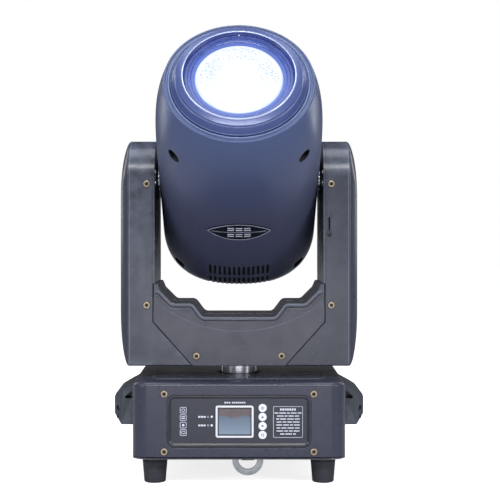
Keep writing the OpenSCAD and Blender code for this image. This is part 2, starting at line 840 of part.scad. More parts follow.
// Lamp board on its copper block, with the collimator in front
module led_engine() {
    color("#b98a4a") in_head() {
        translate([-45, -45, -45]) cube([90, 90, 8]);
        translate([-38, -38, -37]) cube([76, 76, 3]);
        translate([0, 0, -34]) cylinder(r1 = 24, r2 = 28, h = 14);
    }
}

// Comb of fins behind the lamp board
module heat_sink() {
    fins = 17;
    pitch = 9;
    start = -(fins - 1)/2*pitch;
    color("#9fa3a8") in_head() translate([0, 70, 0]) rotate([90, 0, 0]) linear_extrude(140) {
        translate([start - 1.5, -52]) square([(fins - 1)*pitch + 3, 7]);
        for (i = [0:fins - 1]) translate([start + i*pitch - 1.5, -96]) square([3, 45]);
    }
}

module fan_frame() {
    bore_r = 56.5;
    color("#24262b") in_head() translate([0, 0, fan_w]) {
        difference() {
            linear_extrude(fan_h) rounded_rect(fan_size, fan_size, 6);
            translate([0, 0, -1]) cylinder(r = bore_r, h = fan_h + 2);
        }
        for (a = [0:90:270]) rotate(a) translate([12, -3, 0.5]) cube([bore_r - 10.5, 6, 2]);
        cylinder(r = 18, h = 2.8);
        translate([0, 0, 2]) cylinder(r = 3, h = 14);
    }
}

// Seven-bladed rotor on the fan's pin
module fan_rotor() {
    color("#1c1d20") in_head() translate([0, 0, fan_w + 3]) difference() {
        union() {
            cylinder(r = 19, h = 18);
            for (a = [0:360/7:359]) rotate(a) translate([17, 0, 9]) rotate([50, 0, 0])
                translate([0, -11, -0.9]) cube([37, 22, 1.8]);
        }
        translate([0, 0, -1]) cylinder(r = 3 + fit, h = 14.5);
    }
}

// Thin wheel of round windows; one window lies on the optical axis
module window_wheel(y, w, windows, window_r, hub_side) {
    translate([0, y, w]) difference() {
        union() {
            cylinder(r = wheel_r, h = wheel_t);
            translate([0, 0, hub_side < 0 ? -2 : wheel_t]) cylinder(r = 8, h = 2);
        }
        for (i = [0:windows - 1]) rotate(i*360/windows + (y > 0 ? -90 : 90))
            translate([wheel_offset, 0, -1]) cylinder(r = window_r, h = wheel_t + 2);
        translate([0, 0, -3]) cylinder(r = motor_shaft_r + 0.02, h = wheel_t + 6);
    }
}

// Each wheel turns with its motor's shaft
module color_wheel() {
    color("#c8ccd0") in_head() {
        window_wheel(-wheel_offset, color_w, 8, 14, 1);
        translate([0, -wheel_offset, color_w - 1]) cylinder(r = motor_shaft_r + 0.02, h = 24);
    }
}

module gobo_wheel() {
    color("#7d8188") in_head() {
        window_wheel(wheel_offset, gobo_w, 9, 12, -1);
        translate([0, wheel_offset, gobo_w - 12])
            cylinder(r = motor_shaft_r + 0.02, h = 12 + wheel_t + 1);
    }
}

// Motor of each wheel, bolted to the bulkhead beside it
module wheel_motors() {
    spans = [[-wheel_offset, 19, bulkhead_w[1]], [wheel_offset, bulkhead_w[0] + chassis_t, 4]];
    color("#2b2d33") in_head() for (m = spans)
        difference() {
            translate([-wheel_motor_size/2, m[0] - wheel_motor_size/2, m[1]])
                cube([wheel_motor_size, wheel_motor_size, m[2] - m[1]]);
            translate([0, m[0], m[0] < 0 ? m[1] - 1 : m[2] - 9])
                cylinder(r = motor_shaft_r + 0.02 + fit, h = 10);
        }
}

// Swinging arm with the prism at its end, parked beside the beam
module prism_arm() {
    color("#5b6270") in_head() translate([prism_pivot[0], prism_pivot[1], prism_w])
        rotate(prism_park_angle) difference() {
            union() {
                cylinder(r = 8, h = 5);
                translate([0, -6, 0]) cube([prism_reach - 15, 12, 4]);
                translate([prism_reach, 0, 0]) cylinder(r = 22, h = 7);
            }
            translate([0, 0, -1]) cylinder(r = 3 + fit, h = 8);
        }
}

// Lens carriage on the two guide rods
module carriage(w, ring_r) {
    color("#5b6270") in_head() translate([0, 0, w]) difference() {
        union() {
            cylinder(r = ring_r, h = carriage_t);
            translate([-rod_x - 7, -9, 0]) cube([2*rod_x + 14, 18, carriage_t]);
        }
        for (s = [-1, 1]) translate([s*rod_x, 0, -1]) cylinder(r = rod_r + fit, h = carriage_t + 2);
    }
}

module focus_carriage() { carriage(focus_w, 50); }
module zoom_carriage() { carriage(zoom_w, 58); }

// Pointed oval plate that follows the casing's front
module badge() {
    arc_r = 61.7;
    r = head_r + 0.1;
    function strip(r) = [for (a = [237:3:303]) let(p = section_point(0, r, a)) [p[0], p[1]]];
    outer = strip(r + 1.2);
    color("#1b1c22") in_head() intersection() {
        translate([0, 0, badge_w - 25]) linear_extrude(50)
            polygon(concat(strip(r), [for (i = [len(outer) - 1:-1:0]) outer[i]]));
        translate([0, -head_r + 20, badge_w]) rotate([90, 0, 0]) linear_extrude(30)
            intersection_for (s = [-1, 1]) translate([0, s*(arc_r - 19.5)]) circle(arc_r, $fn = 128);
    }
}

module head_screws() {
    color("#2b2d33") in_head() for (x = [-1, 1], y = [-1, 1], p = shell_screws)
        translate([x*p[0], y*p[2], p[1]]) rotate([-90*y, 0, 0]) cylinder(r = 3.8, h = 3);
}

// ---------- drawing ----------

bottom_plate();
base_shell();
front_panel();
display_screen();
display_frame();
status_lights();
rear_panel();
power_sockets();
data_sockets();
left_handle();
right_handle();
feet();
base_screws();
ring_saddle();
power_supply();
control_boards();
pan_spindle();
pan_pulley();
safety_ring();
menu_button();
up_button();
down_button();
enter_button();
yoke_frame();
left_arm_housing();
right_arm_housing();
left_arm_cover();
right_arm_cover();
crossbar_front_cover();
crossbar_rear_cover();
pan_bearing();
drive_motors();
tilt_bearings();
pan_belt();
tilt_belt();
yoke_screws();
pan_motor_pulley();
tilt_motor_pulley();
tilt_lock();
head_front_shell();
head_rear_shell();
rear_grille();
nose_ring();
front_lens();
head_chassis();
guide_rods();
tilt_axles();
tilt_pulley();
led_engine();
heat_sink();
fan_frame();
badge();
head_screws();
wheel_motors();
fan_rotor();
color_wheel();
gobo_wheel();
prism_arm();
focus_carriage();
zoom_carriage();
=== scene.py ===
"""Moving head light: moulded covers, bezel, lens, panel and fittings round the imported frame.

Lengths in this file are millimetres in the row frame unless a name says otherwise; make() turns
them into metres. Shapes of the head are drawn along its optical axis, w, and placed by HEAD.
"""
import math

import bmesh
import bpy
from mathutils import Matrix, Vector


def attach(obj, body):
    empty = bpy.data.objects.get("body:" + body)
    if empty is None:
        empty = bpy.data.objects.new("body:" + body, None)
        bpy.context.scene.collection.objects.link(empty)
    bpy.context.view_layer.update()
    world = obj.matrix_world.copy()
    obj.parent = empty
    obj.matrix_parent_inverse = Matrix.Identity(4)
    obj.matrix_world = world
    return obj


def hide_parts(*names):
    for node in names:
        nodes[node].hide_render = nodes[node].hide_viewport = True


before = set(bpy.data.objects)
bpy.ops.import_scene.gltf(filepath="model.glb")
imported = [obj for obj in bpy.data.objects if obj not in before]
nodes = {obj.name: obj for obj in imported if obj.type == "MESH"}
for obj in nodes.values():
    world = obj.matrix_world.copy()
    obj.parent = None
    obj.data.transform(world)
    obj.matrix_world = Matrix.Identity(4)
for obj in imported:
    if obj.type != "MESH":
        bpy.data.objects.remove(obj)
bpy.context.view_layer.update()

MM = 0.001
scene = bpy.context.scene

# Base
BASE_W = 294
BASE_D = 240
BASE_TOP = 105.8
CORNER_R = 22
EDGE_R = 7
WALL = 2.5
PANEL_FACE = 117.5
PANEL_Z = 52
PANEL_SIZE = (197.4, 72, 10.6)
FILM_T = 0.4
PRINT_T = 0.12
DISPLAY_AT = (-6, 51.6)
WINDOW = (46.6, 37.8)
BUTTON_X = 32.3
BUTTON_TOP = 70.2
BUTTON_PITCH = 12.3
BUTTON_SEAT = PANEL_FACE - 4.1
BUTTON_H = 5.5
ICON_X = -76.4
ICON_Z = (67.2, 57, 46.8, 36.6)
LABEL_AT = (67.1, 51.1)
LIGHT_X = -37.4
LIGHT_Z = (58.2, 46.4)
FLOOR_Z = -36
HANDLE_REACH = 30
FOOT_AT = (117, 87)
BASE_SCREW_X = 102.4
BASE_SCREW_Z = (10.6, 89.6)
RING_AT = (12.5, -55)
RING_Z = (-6, -12)

# Yoke
ARM_INNER = 118.7
SEAM_X = 121.2
CREASE = 156.2
ARM_OUTER = 168
YOKE_HALF = 70
YOKE_Z = (122.5, 442)
ARM_R = 52
RECESS_R = 185
RECESS_Z = 357.2
RECESS_T = 1.5
SCREW_X = 130
SCREW_Z = (208, 379)
BAR_SCREW = (60, 136.5)
LOCK_X = 127.2
LOCK_Z = (304, 332)

# Head
TILT_Z = 388
LEAN = math.radians(56.5)
HEAD_R = 114.9
REAR = -130.9
REAR_FLAT_R = 80
REAR_ROUND = HEAD_R - REAR_FLAT_R
FRONT = 220
NOSE_DROP = 14.5
VENT_ROWS = ((-120, -87), (-83.5, -57))
VENT_COUNT = 13
VENT_PITCH = 7
VENT_HALF = 1.9
VENT_EDGE = 47.5
LENS_R = 58.5
BADGE_W = 36
SHELL_SCREWS = ((86.5, 159, 62), (88, -92, 67))
HEAD = Matrix.Translation((0, 0, TILT_Z * MM)) @ Matrix.Rotation(LEAN, 4, "X")

MIRROR_X = Matrix.Scale(-1, 4, (1, 0, 0))
HALF_TURN = Matrix.Rotation(math.pi, 4, "Z")


# ---------- mesh helpers ----------

def make(name, verts, faces):
    """Mesh object from points in millimetres, welded and with outward normals."""
    mesh = bpy.data.meshes.new(name)
    mesh.from_pydata([Vector(v) * MM for v in verts], [], faces)
    obj = bpy.data.objects.new(name, mesh)
    scene.collection.objects.link(obj)
    work = bmesh.new()
    work.from_mesh(mesh)
    bmesh.ops.remove_doubles(work, verts=work.verts, dist=1e-6)
    bmesh.ops.recalc_face_normals(work, faces=work.faces)
    work.to_mesh(mesh)
    work.free()
    return obj


def skin(name, rings, closed=True, caps=True):
    """Surface through rings of equal point counts."""
    count = len(rings[0])
    verts = [p for ring in rings for p in ring]
    faces = []
    for i in range(len(rings) - 1):
        for j in range(count if closed else count - 1):
            k = (j + 1) % count
            faces.append((i * count + j, i * count + k, (i + 1) * count + k, (i + 1) * count + j))
    if caps:
        last = (len(rings) - 1) * count
        faces.append(tuple(range(count - 1, -1, -1)))
        faces.append(tuple(range(last, last + count)))
    return make(name, verts, faces)


PLANES = {
    "xz": lambda u, v, t: (u, t, v),
    "yz": lambda u, v, t: (t, u, v),
    "xy": lambda u, v, t: (u, v, t),
}


def extrude(name, outline, low, high, plane="xz"):
    """Solid from a flat outline, between two places on the axis square to its plane."""
    place = PLANES[plane]
    return skin(name, [[place(u, v, t) for u, v in outline] for t in (low, high)])


def lathe(name, profile, segments=64, closed=False):
    """Solid turned about Z from (radius, z) points; closed joins the last point to the first."""
    angles = [2 * math.pi * k / segments for k in range(segments)]
    rings = [[(r * math.cos(a), r * math.sin(a), z) for a in angles] for r, z in profile]
    if closed:
        rings.append(rings[0])
    return skin(name, rings, caps=False)


def fillet(points, radius, steps=6, closed=True):
    """Outline with its corners rounded; radius is one number or one for each corner."""
    out = []
    count = len(points)
    for i, point in enumerate(points):
        r = radius[i] if isinstance(radius, (list, tuple)) else radius
        here = Vector(point)
        if r <= 0 or (not closed and i in (0, count - 1)):
            out.append(tuple(here))
            continue
        before = Vector(points[i - 1]) - here
        after = Vector(points[(i + 1) % count]) - here
        half = before.angle(after) / 2
        if half > math.pi / 2 - 0.01:
            out.append(tuple(here))
            continue
        reach = min(r / math.tan(half), 0.49 * before.length, 0.49 * after.length)
        r = reach * math.tan(half)
        centre = here + (before.normalized() + after.normalized()).normalized() * (r / math.sin(half))
        start = here + before.normalized() * reach - centre
        end = here + after.normalized() * reach - centre
        first = math.atan2(start.y, start.x)
        turn = math.atan2(end.y, end.x) - first
        turn = (turn + math.pi) % (2 * math.pi) - math.pi
        for k in range(steps + 1):
            a = first + turn * k / steps
            out.append((centre.x + r * math.cos(a), centre.y + r * math.sin(a)))
    return out


def rect(width, height, r, centre=(0, 0), steps=8):
    """Rectangle outline with round corners."""
    w = width / 2
    h = height / 2
    corners = [(-w, -h), (w, -h), (w, h), (-w, h)]
    return [(u + centre[0], v + centre[1]) for u, v in fillet(corners, r, steps)]


def circle(r, centre=(0, 0), count=48):
    angles = [2 * math.pi * k / count for k in range(count)]
    return [(centre[0] + r * math.cos(a), centre[1] + r * math.sin(a)) for a in angles]


def settle(obj):
    """Applies the modifiers of a piece to its mesh."""
    graph = bpy.context.evaluated_depsgraph_get()
    mesh = bpy.data.meshes.new_from_object(obj.evaluated_get(graph))
    obj.modifiers.clear()
    obj.data = mesh
    return obj


def carve(obj, cutters, operation="DIFFERENCE"):
    """Cuts the cutters out of a piece, or keeps what they share with it."""
    for cutter in cutters:
        step = obj.modifiers.new("carve", "BOOLEAN")
        step.object = cutter
        step.operation = operation
        step.solver = "EXACT"
    settle(obj)
    for cutter in cutters:
        bpy.data.objects.remove(cutter)
    return obj


def bevel(obj, width, segments=2, angle=35):
    """Rounds the edges that are sharper than angle."""
    step = obj.modifiers.new("bevel", "BEVEL")
    step.width = width * MM
    step.segments = segments
    step.limit_method = "ANGLE"
    step.angle_limit = math.radians(angle)
    return settle(obj)


def thicken(obj, thickness, offset, even=False):
    """Gives a sheet its thickness in millimetres; offset -1 is inwards, 0 is to both sides."""
    step = obj.modifiers.new("thick", "SOLIDIFY")
    step.thickness = thickness * MM
    step.offset = offset
    step.use_even_offset = even
    return settle(obj)


def shade(obj, angle=40, weighted=False):
    """Smooth shading, broken at edges sharper than angle."""
    for polygon in obj.data.polygons:
        polygon.use_smooth = True
    obj.data.set_sharp_from_angle(angle=math.radians(angle))
    if weighted:
        step = obj.modifiers.new("normals", "WEIGHTED_NORMAL")
        step.keep_sharp = True
        settle(obj)
    return obj


def join(name, parts):
    """One object from several."""
    work = bmesh.new()
    for part in parts:
        work.from_mesh(part.data)
    mesh = bpy.data.meshes.new(name)
    work.to_mesh(mesh)
    work.free()
    for part in parts:
        bpy.data.objects.remove(part)
    obj = bpy.data.objects.new(name, mesh)
    scene.collection.objects.link(obj)
    return obj


def moved(obj, matrix):
    obj.data.transform(matrix)
    if matrix.determinant() < 0:
        obj.data.flip_normals()
    return obj


def at(x, y, z, turn=0, axis="X"):
    """Place in millimetres with a turn in degrees."""
    return Matrix.Translation((x * MM, y * MM, z * MM)) @ Matrix.Rotation(math.radians(turn), 4, axis)


def piece(obj, body, slot, material, *replaced):
    """Gives a finished mesh its material and its body, and hides the nodes it replaces; slot is not used.
    """
    obj.data.materials.clear()
    obj.data.materials.append(material)
    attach(obj, body)
    if replaced:
        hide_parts(*replaced)
    return obj


# ---------- materials ----------

def linear(red, green, blue):
    """Linear colour from display values of 0 to 255."""
    def one(value):
        value /= 255
        return value / 12.92 if value <= 0.04045 else ((value + 0.055) / 1.055) ** 2.4
    return (one(red), one(green), one(blue), 1)


def scaled(color, factor):
    return tuple(min(1, c * factor) for c in color[:3]) + (1,)


class Surface:
    """A material's node tree, built a node at a time."""

    def __init__(self, name):
        self.material = bpy.data.materials.new(name)
        self.material.use_nodes = True
        self.tree = self.material.node_tree
        self.shader = self.tree.nodes["Principled BSDF"]
        self.place = self.add("TexCoord").outputs["Object"]

    def add(self, kind, values=None, **settings):
        node = self.tree.nodes.new("ShaderNode" + kind)
        for key, value in settings.items():
            setattr(node, key, value)
        for key, value in (values or {}).items():
            self.put(node.inputs[key], value)
        return node

    def put(self, socket, value):
        if isinstance(value, bpy.types.NodeSocket):
            self.tree.links.new(value, socket)
        else:
            socket.default_value = value

    def set(self, **values):
        for key, value in values.items():
            self.put(self.shader.inputs[key.replace("_", " ")], value)

    def noise(self, scale, detail=3, stretch=None, roughness=0.5):
        place = self.place
        if stretch:
            place = self.add("Mapping", {"Vector": place, "Scale": stretch}).outputs[0]
        values = {"Vector": place, "Scale": scale, "Detail": detail, "Roughness": roughness}
        return self.add("TexNoise", values).outputs[0]

    def range(self, value, low, high, to_low=0.0, to_high=1.0):
        values = {"Value": value, "From Min": low, "From Max": high, "To Min": to_low, "To Max": to_high}
        return self.add("MapRange", values).outputs[0]

    def mix(self, share, first, second):
        return self.add("MixRGB", {"Fac": share, "Color1": first, "Color2": second}).outputs[0]

    def math(self, operation, first, second=0.0):
        return self.add("Math", {0: first, 1: second}, operation=operation).outputs[0]

    def bump(self, height, strength, distance_mm, before=None):
        values = {"Height": height, "Strength": strength, "Distance": distance_mm * MM}
        if before is not None:
            values["Normal"] = before
        return self.add("Bump", values).outputs[0]


OPTICAL_AXIS = (0, -math.sin(LEAN), math.cos(LEAN))


def from_pivot(s):
    """Place relative to the middle of the tilt axis."""
    return s.add("VectorMath", {0: s.place, 1: (0, 0, TILT_Z * MM)}, operation="SUBTRACT").outputs[0]


def axis_height(s):
    """Distance along the head's optical axis from the tilt axis, in millimetres."""
    values = {0: from_pivot(s), 1: OPTICAL_AXIS}
    along = s.add("VectorMath", values, operation="DOT_PRODUCT").outputs["Value"]
    return s.math("MULTIPLY", along, 1 / MM)


ROUGH_SPREAD = 0.04


def finish(name, color, roughness, metallic=0.0, cloud=9, vary=0.12, grain=1500, depth=0.04,
           wear_and_highlight=None, wear_and_highlight_share=0.6, dust=0.0, stretch=None, coat=0.0, front=None):
    """Procedural finish: clouded colour, uneven roughness, fine relief and lighter edges, partly worn and
    partly painted highlight.
    """
    s = Surface(name)
    clouds = s.noise(cloud, 5)
    base = s.mix(s.range(clouds, 0.3, 0.7), scaled(color, 1 - vary), scaled(color, 1 + vary))
    # Painted blue lens light: the colour turns bluer along the optical axis towards the front.
    if front:
        base = s.mix(s.range(axis_height(s), 60, 215), base, front)
    specks = s.noise(grain * 0.4, 2)
    base = s.mix(s.range(specks, 0.55, 0.75, 0, 0.16), base, scaled(color, 1.5))
    if dust:
        settled = s.range(s.noise(35, 6, roughness=0.7), 0.55, 0.8, 0, dust)
        base = s.mix(settled, base, linear(150, 152, 158))
    # Lighter edges by pointiness: partly worn, partly a painted highlight.
    if wear_and_highlight:
        edge = s.add("NewGeometry").outputs["Pointiness"]
        rubbed_and_highlit = s.math("MULTIPLY", s.range(edge, 0.52, 0.62), s.range(s.noise(60, 4), 0.3, 0.6))
        base = s.mix(s.math("MULTIPLY", rubbed_and_highlit, wear_and_highlight_share), base, wear_and_highlight)
    s.set(Base_Color=base, Metallic=metallic)
    low = roughness - ROUGH_SPREAD
    high = roughness + ROUGH_SPREAD
    s.set(Roughness=s.range(s.noise(cloud * 3, 5), 0.3, 0.7, low, high))
    s.set(Normal=s.bump(s.noise(grain, 3, stretch), 0.5, depth))
    s.shader.inputs["Coat Weight"].default_value = coat
    s.shader.inputs["Coat Roughness"].default_value = 0.15
    return s.material


# Colour of the lighter edges: partly worn, partly a painted highlight.
WORN_AND_HIGHLIT = linear(104, 112, 130)
MOULDED = {"wear_and_highlight": WORN_AND_HIGHLIT, "wear_and_highlight_share": 0.4, "vary": 0.06, "grain": 1500, "depth": 0.05}
THIN_LINE = {"metallic": 0.3, "cloud": 40, "grain": 2400, "depth": 0.01}
mat_arm = finish("arm_plastic", linear(49, 53, 67), 0.27, dust=0.006, **MOULDED)
mat_dome = finish("dome_plastic", linear(54, 58, 72), 0.3, dust=0.008, **MOULDED)
mat_bar = finish("crossbar_plastic", linear(53, 54, 68), 0.27, dust=0.006, **MOULDED)
mat_base = finish("base_plastic", linear(49, 52, 70), 0.28, dust=0.006, **MOULDED)
# Its front colour is painted blue light from the lens.
mat_head = finish("head_plastic", linear(74, 79, 104), 0.32, wear_and_highlight=WORN_AND_HIGHLIT, wear_and_highlight_share=0.3, grain=1500,
                  depth=0.025, vary=0.05, cloud=6, front=linear(66, 82, 124))
mat_handle = finish("handle_plastic", linear(50, 55, 66), 0.4, wear_and_highlight=WORN_AND_HIGHLIT, wear_and_highlight_share=0.4,
                    vary=0.08, dust=0.01, grain=1100, depth=0.07)
mat_film = finish("panel_film", linear(40, 43, 58), 0.34, grain=2400, depth=0.012, vary=0.05, coat=0.2)
mat_trough = finish("panel_trough", linear(30, 32, 42), 0.3, grain=1800, depth=0.03, vary=0.05, coat=0.2)
# Light colour for thin lines painted along edges and seams as highlights.
mat_painted_highlight = finish("painted_highlight_line", linear(98, 106, 126), 0.3, cloud=40, grain=2000, depth=0.02, vary=0.12)
mat_print = finish("white_print", linear(214, 220, 236), 0.5, grain=2600, depth=0.01, vary=0.04, cloud=60)
mat_bezel = finish("display_bezel", linear(30, 33, 44), 0.3, grain=2600, depth=0.01, coat=0.4)
mat_frame = finish("display_frame_white", linear(226, 228, 236), 0.35, grain=2200, depth=0.01, vary=0.03)
mat_button = finish("button_plastic", linear(232, 235, 242), 0.38, grain=2200, depth=0.01, vary=0.03)
mat_mark = finish("button_mark", linear(96, 102, 122), 0.5, grain=2600, depth=0.01, vary=0.05)
mat_rubber = finish("foot_rubber", linear(36, 38, 48), 0.62, cloud=30, grain=900, depth=0.12, dust=0.03,
                    wear_and_highlight=linear(84, 86, 94))
mat_bronze = finish("bronze_screw", linear(172, 154, 132), 0.32, 0.5, cloud=200, grain=3000, depth=0.02,
                    vary=0.2, wear_and_highlight=linear(206, 196, 176))
mat_steel = finish("plated_steel", linear(186, 190, 198), 0.26, 1.0, cloud=120, grain=2200, depth=0.02,
                   vary=0.12, wear_and_highlight=linear(230, 232, 238))
mat_turned = finish("turned_steel", linear(190, 194, 202), 0.2, 1.0, cloud=70, grain=1800, depth=0.02,
                    stretch=(1, 1, 26), vary=0.12)
mat_painted = finish("painted_steel", linear(44, 47, 56), 0.5, 0.2, cloud=25, grain=1000, depth=0.08,
                     wear_and_highlight=linear(150, 152, 158), dust=0.02)
mat_chassis = finish("sheet_steel", linear(140, 144, 150), 0.42, 0.9, cloud=18, grain=900, depth=0.04,
                     stretch=(1, 14, 1), dust=0.12)
mat_dark = finish("dark_plastic", linear(26, 28, 34), 0.48, grain=1500, depth=0.05, wear_and_highlight=linear(70, 74, 84))
mat_black = finish("matt_black", linear(16, 17, 20), 0.6, grain=1200, depth=0.06, dust=0.01)
mat_nose = finish("nose_paint", linear(60, 75, 128), 0.3, 0.1, grain=1900, depth=0.02, coat=0.15, vary=0.06)
# Bright colours for lines on the nose, painted as highlights along its edges and in its bore.
mat_rim_highlight = finish("nose_edge", linear(196, 208, 240), 0.22, vary=0.08, **THIN_LINE)
mat_line_highlight = finish("nose_line", linear(126, 142, 178), 0.26, vary=0.1, **THIN_LINE)
mat_bore_highlight = finish("bore_line", linear(72, 96, 170), 0.26, vary=0.1, **THIN_LINE)
mat_badge = finish("badge_black", linear(20, 21, 27), 0.25, grain=2400, depth=0.01, coat=0.4, vary=0.2)
mat_silver = finish("badge_silver", linear(178, 186, 206), 0.3, 0.1, cloud=80, grain=2600, depth=0.01)
mat_ring = finish("ring_steel", linear(226, 232, 238), 0.22, 0.1, cloud=110, grain=2200,
                  depth=0.03, vary=0.14, wear_and_highlight=linear(240, 242, 246))
mat_blue = finish("socket_blue", linear(38, 84, 160), 0.4, wear_and_highlight=linear(110, 140, 196))
mat_belt = finish("belt_rubber", linear(26, 27, 31), 0.7, grain=900, depth=0.1, stretch=(1, 1, 8), dust=0.1)
mat_alloy = finish("cast_alloy", linear(170, 173, 178), 0.45, 0.9, cloud=22, grain=1100,
                   depth=0.05, dust=0.08)
mat_copper = finish("copper_block", linear(196, 128, 84), 0.34, 1.0, cloud=60, depth=0.03, vary=0.2)
mat_board = finish("circuit_board", linear(24, 84, 54), 0.36, cloud=220, grain=800, depth=0.08,
                   vary=0.35, coat=0.3)
mat_filter = finish("filter_foam", linear(24, 25, 30), 0.9, cloud=300, grain=700, depth=0.5, vary=0.3)


def screen_material():
    """Dark glass with a grey glow from below and a soft brown reflection along its top."""
    s = Surface("display_glass")
    split = s.add("SeparateXYZ", {0: s.place})
    height = s.range(split.outputs[2], (DISPLAY_AT[1] - 19) * MM, (DISPLAY_AT[1] + 19) * MM)
    wave = s.math("MULTIPLY", s.math("SINE", s.math("MULTIPLY", split.outputs[0], 210.0)), 0.035)
    drift = s.math("MULTIPLY", s.noise(90, 3), 0.12)
    line = s.math("ADD", s.math("SUBTRACT", height, wave), drift)
    lower = s.mix(s.range(height, 0.0, 0.7), linear(118, 134, 152), linear(84, 98, 118))
    upper = s.mix(s.noise(120, 4), linear(72, 66, 74), linear(104, 92, 92))
    base = s.mix(s.range(line, 0.69, 0.76), lower, upper)
    s.set(Base_Color=base, Roughness=s.range(s.noise(60, 4), 0.3, 0.7, 0.1, 0.2))
    s.set(Emission_Color=base, Normal=s.bump(s.noise(700, 2), 0.1, 0.01))
    s.shader.inputs["Emission Strength"].default_value = 0.28
    s.shader.inputs["Coat Weight"].default_value = 0.5
    return s.material


def axis_distance(s):
    """Distance from the head's optical axis, in millimetres."""
    values = {0: from_pivot(s), 1: OPTICAL_AXIS}
    across = s.add("VectorMath", values, operation="CROSS_PRODUCT").outputs[0]
    length = s.add("VectorMath", {0: across}, operation="LENGTH").outputs["Value"]
    return s.math("MULTIPLY", length, 1 / MM)


def lens_material():
    """Glowing front lens: white, with pale blue specks over its upper half and a blue rim."""
    s = Surface("lens_glow")
    radius = axis_distance(s)
    up = (0, math.cos(LEAN), math.sin(LEAN))
    above = s.add("VectorMath", {0: from_pivot(s), 1: up}, operation="DOT_PRODUCT").outputs["Value"]
    specks = s.range(s.noise(420, 3, roughness=0.8), 0.47, 0.56)
    arch = s.math("MULTIPLY", s.range(radius, 12, 34), s.range(above, -22 * MM, 2 * MM))
    arch = s.math("MULTIPLY", arch, s.range(radius, 55, 51))
    few = s.math("MULTIPLY", s.range(s.noise(300, 3), 0.62, 0.7), 0.35)
    share = s.math("MAXIMUM", s.math("MULTIPLY", specks, arch), few)
    white = s.mix(share, (1, 1, 1, 1), (0.3, 0.42, 0.84, 1))
    rim = s.mix(s.range(radius, 53, 57), white, (0.72, 0.82, 1, 1))
    glow = s.mix(s.range(radius, 57.2, 58.5), rim, (0.12, 0.26, 0.9, 1))
    s.set(Base_Color=(0.05, 0.06, 0.09, 1), Emission_Color=glow)
    s.set(Roughness=s.range(s.noise(50, 4), 0.3, 0.7, 0.1, 0.2))
    s.set(Normal=s.bump(s.noise(500, 2), 0.08, 0.02))
    s.shader.inputs["Emission Strength"].default_value = 0.98
    return s.material


def bore_material():
    """Bezel paint with a painted blue glow of the lens's light, growing towards the lens."""
    s = Surface("bezel_bore")
    radius = axis_distance(s)
    near = s.range(radius, 72, 59)
    clouds = s.noise(40, 4)
    base = s.mix(s.range(clouds, 0.3, 0.7), linear(28, 40, 92), linear(40, 54, 116))
    lines = s.math("SINE", s.math("MULTIPLY", radius, 4.2))
    s.set(Base_Color=base, Emission_Color=s.mix(near, (0.012, 0.022, 0.1, 1), (0.1, 0.2, 0.72, 1)))
    s.set(Roughness=s.range(s.noise(80, 4), 0.3, 0.7, 0.22, 0.34), Normal=s.bump(lines, 0.2, 0.1))
    s.shader.inputs["Emission Strength"].default_value = 0.5
    return s.material


def pipe_material():
    s = Surface("light_pipe")
    base = s.mix(s.noise(300, 3), linear(196, 206, 228), linear(226, 232, 244))
    s.set(Base_Color=base, Emission_Color=base, Roughness=s.range(s.noise(90, 3), 0.3, 0.7, 0.14, 0.24))
    s.set(Normal=s.bump(s.noise(900, 2), 0.1, 0.02))
    s.shader.inputs["Emission Strength"].default_value = 0.25
    return s.material


def glass_material():
    s = Surface("coated_glass")
    tint = s.mix(s.noise(40, 3), linear(150, 176, 214), linear(196, 176, 214))
    s.set(Base_Color=tint, Roughness=s.range(s.noise(60, 3), 0.3, 0.7, 0.05, 0.12))
    s.set(Normal=s.bump(s.noise(600, 2), 0.1, 0.01))
    s.shader.inputs["Coat Weight"].default_value = 0.8
    return s.material


mat_screen = screen_material()
mat_lens = lens_material()
mat_bore = bore_material()
mat_pipe = pipe_material()
mat_glass = glass_material()


# ---------- small fittings ----------

def cap_screw(name):
    """Cap screw that stands up from z = 0, with a hexagon socket."""
    count = 36
    angles = [2 * math.pi * k / count for k in range(count)]

    def ring(r, z):
        return [(r * math.cos(a), r * math.sin(a), z) for a in angles]

    def hexagon(flats, z):
        sixth = math.pi / 3
        radii = [flats / 2 / math.cos((a + sixth / 2) % sixth - sixth / 2) for a in angles]
        return [(r * math.cos(a), r * math.sin(a), z) for r, a in zip(radii, angles)]

    head = ((0, -2), (2, -2), (2, 0), (4.7, 0), (4.75, 0.3), (4.75, 1.1), (4.6, 1.5), (4.2, 1.75),
            (3.3, 1.8))
    socket = ((5.2, 1.8), (4.8, 1.6), (4.8, -1))
    rings = [ring(r, z) for r, z in head] + [hexagon(flats, z) for flats, z in socket]
    rings.append(ring(0, -1.2))
    return shade(skin(name, rings, caps=False), 38)


def screws(name, places, body, slot, material, *replaced):
    """Cap screws, each on a dark ring painted as its shadow, with a dark disc painted as the shade deep in
    its socket.
    """
    parts = [moved(cap_screw("screw"), place) for place in places]
    piece(shade(join(name, parts), 38), body, slot, material, *replaced)
    # Painted shade: a dark ring round each screw head and a dark disc deep in each socket.
    shadow_ring = [(4.8, 0), (5.2, 0), (5.4, 0.1), (5.4, 0.25), (5.2, 0.35), (4.8, 0.35)]
    shadows = [moved(lathe("shadow_ring", shadow_ring, 40, True), place) for place in places]
    plug = [(0, 0.5), (2.1, 0.5), (2.25, 0.3), (2.25, -0.9), (0, -0.9)]
    shadows += [moved(lathe("plug", plug, 24), place) for place in places]
    piece(shade(join(name + "_shadows", shadows), 40), body, "dark_plastic", mat_black)


def slab(u0, u1, v0, v1, y, thick=PRINT_T, r=0.3):
    """Thin printed bar on a face that looks towards -Y."""
    centre = ((u0 + u1) / 2, (v0 + v1) / 2)
    return extrude("bar", rect(u1 - u0, v1 - v0, r, centre, 2), y - thick, y)


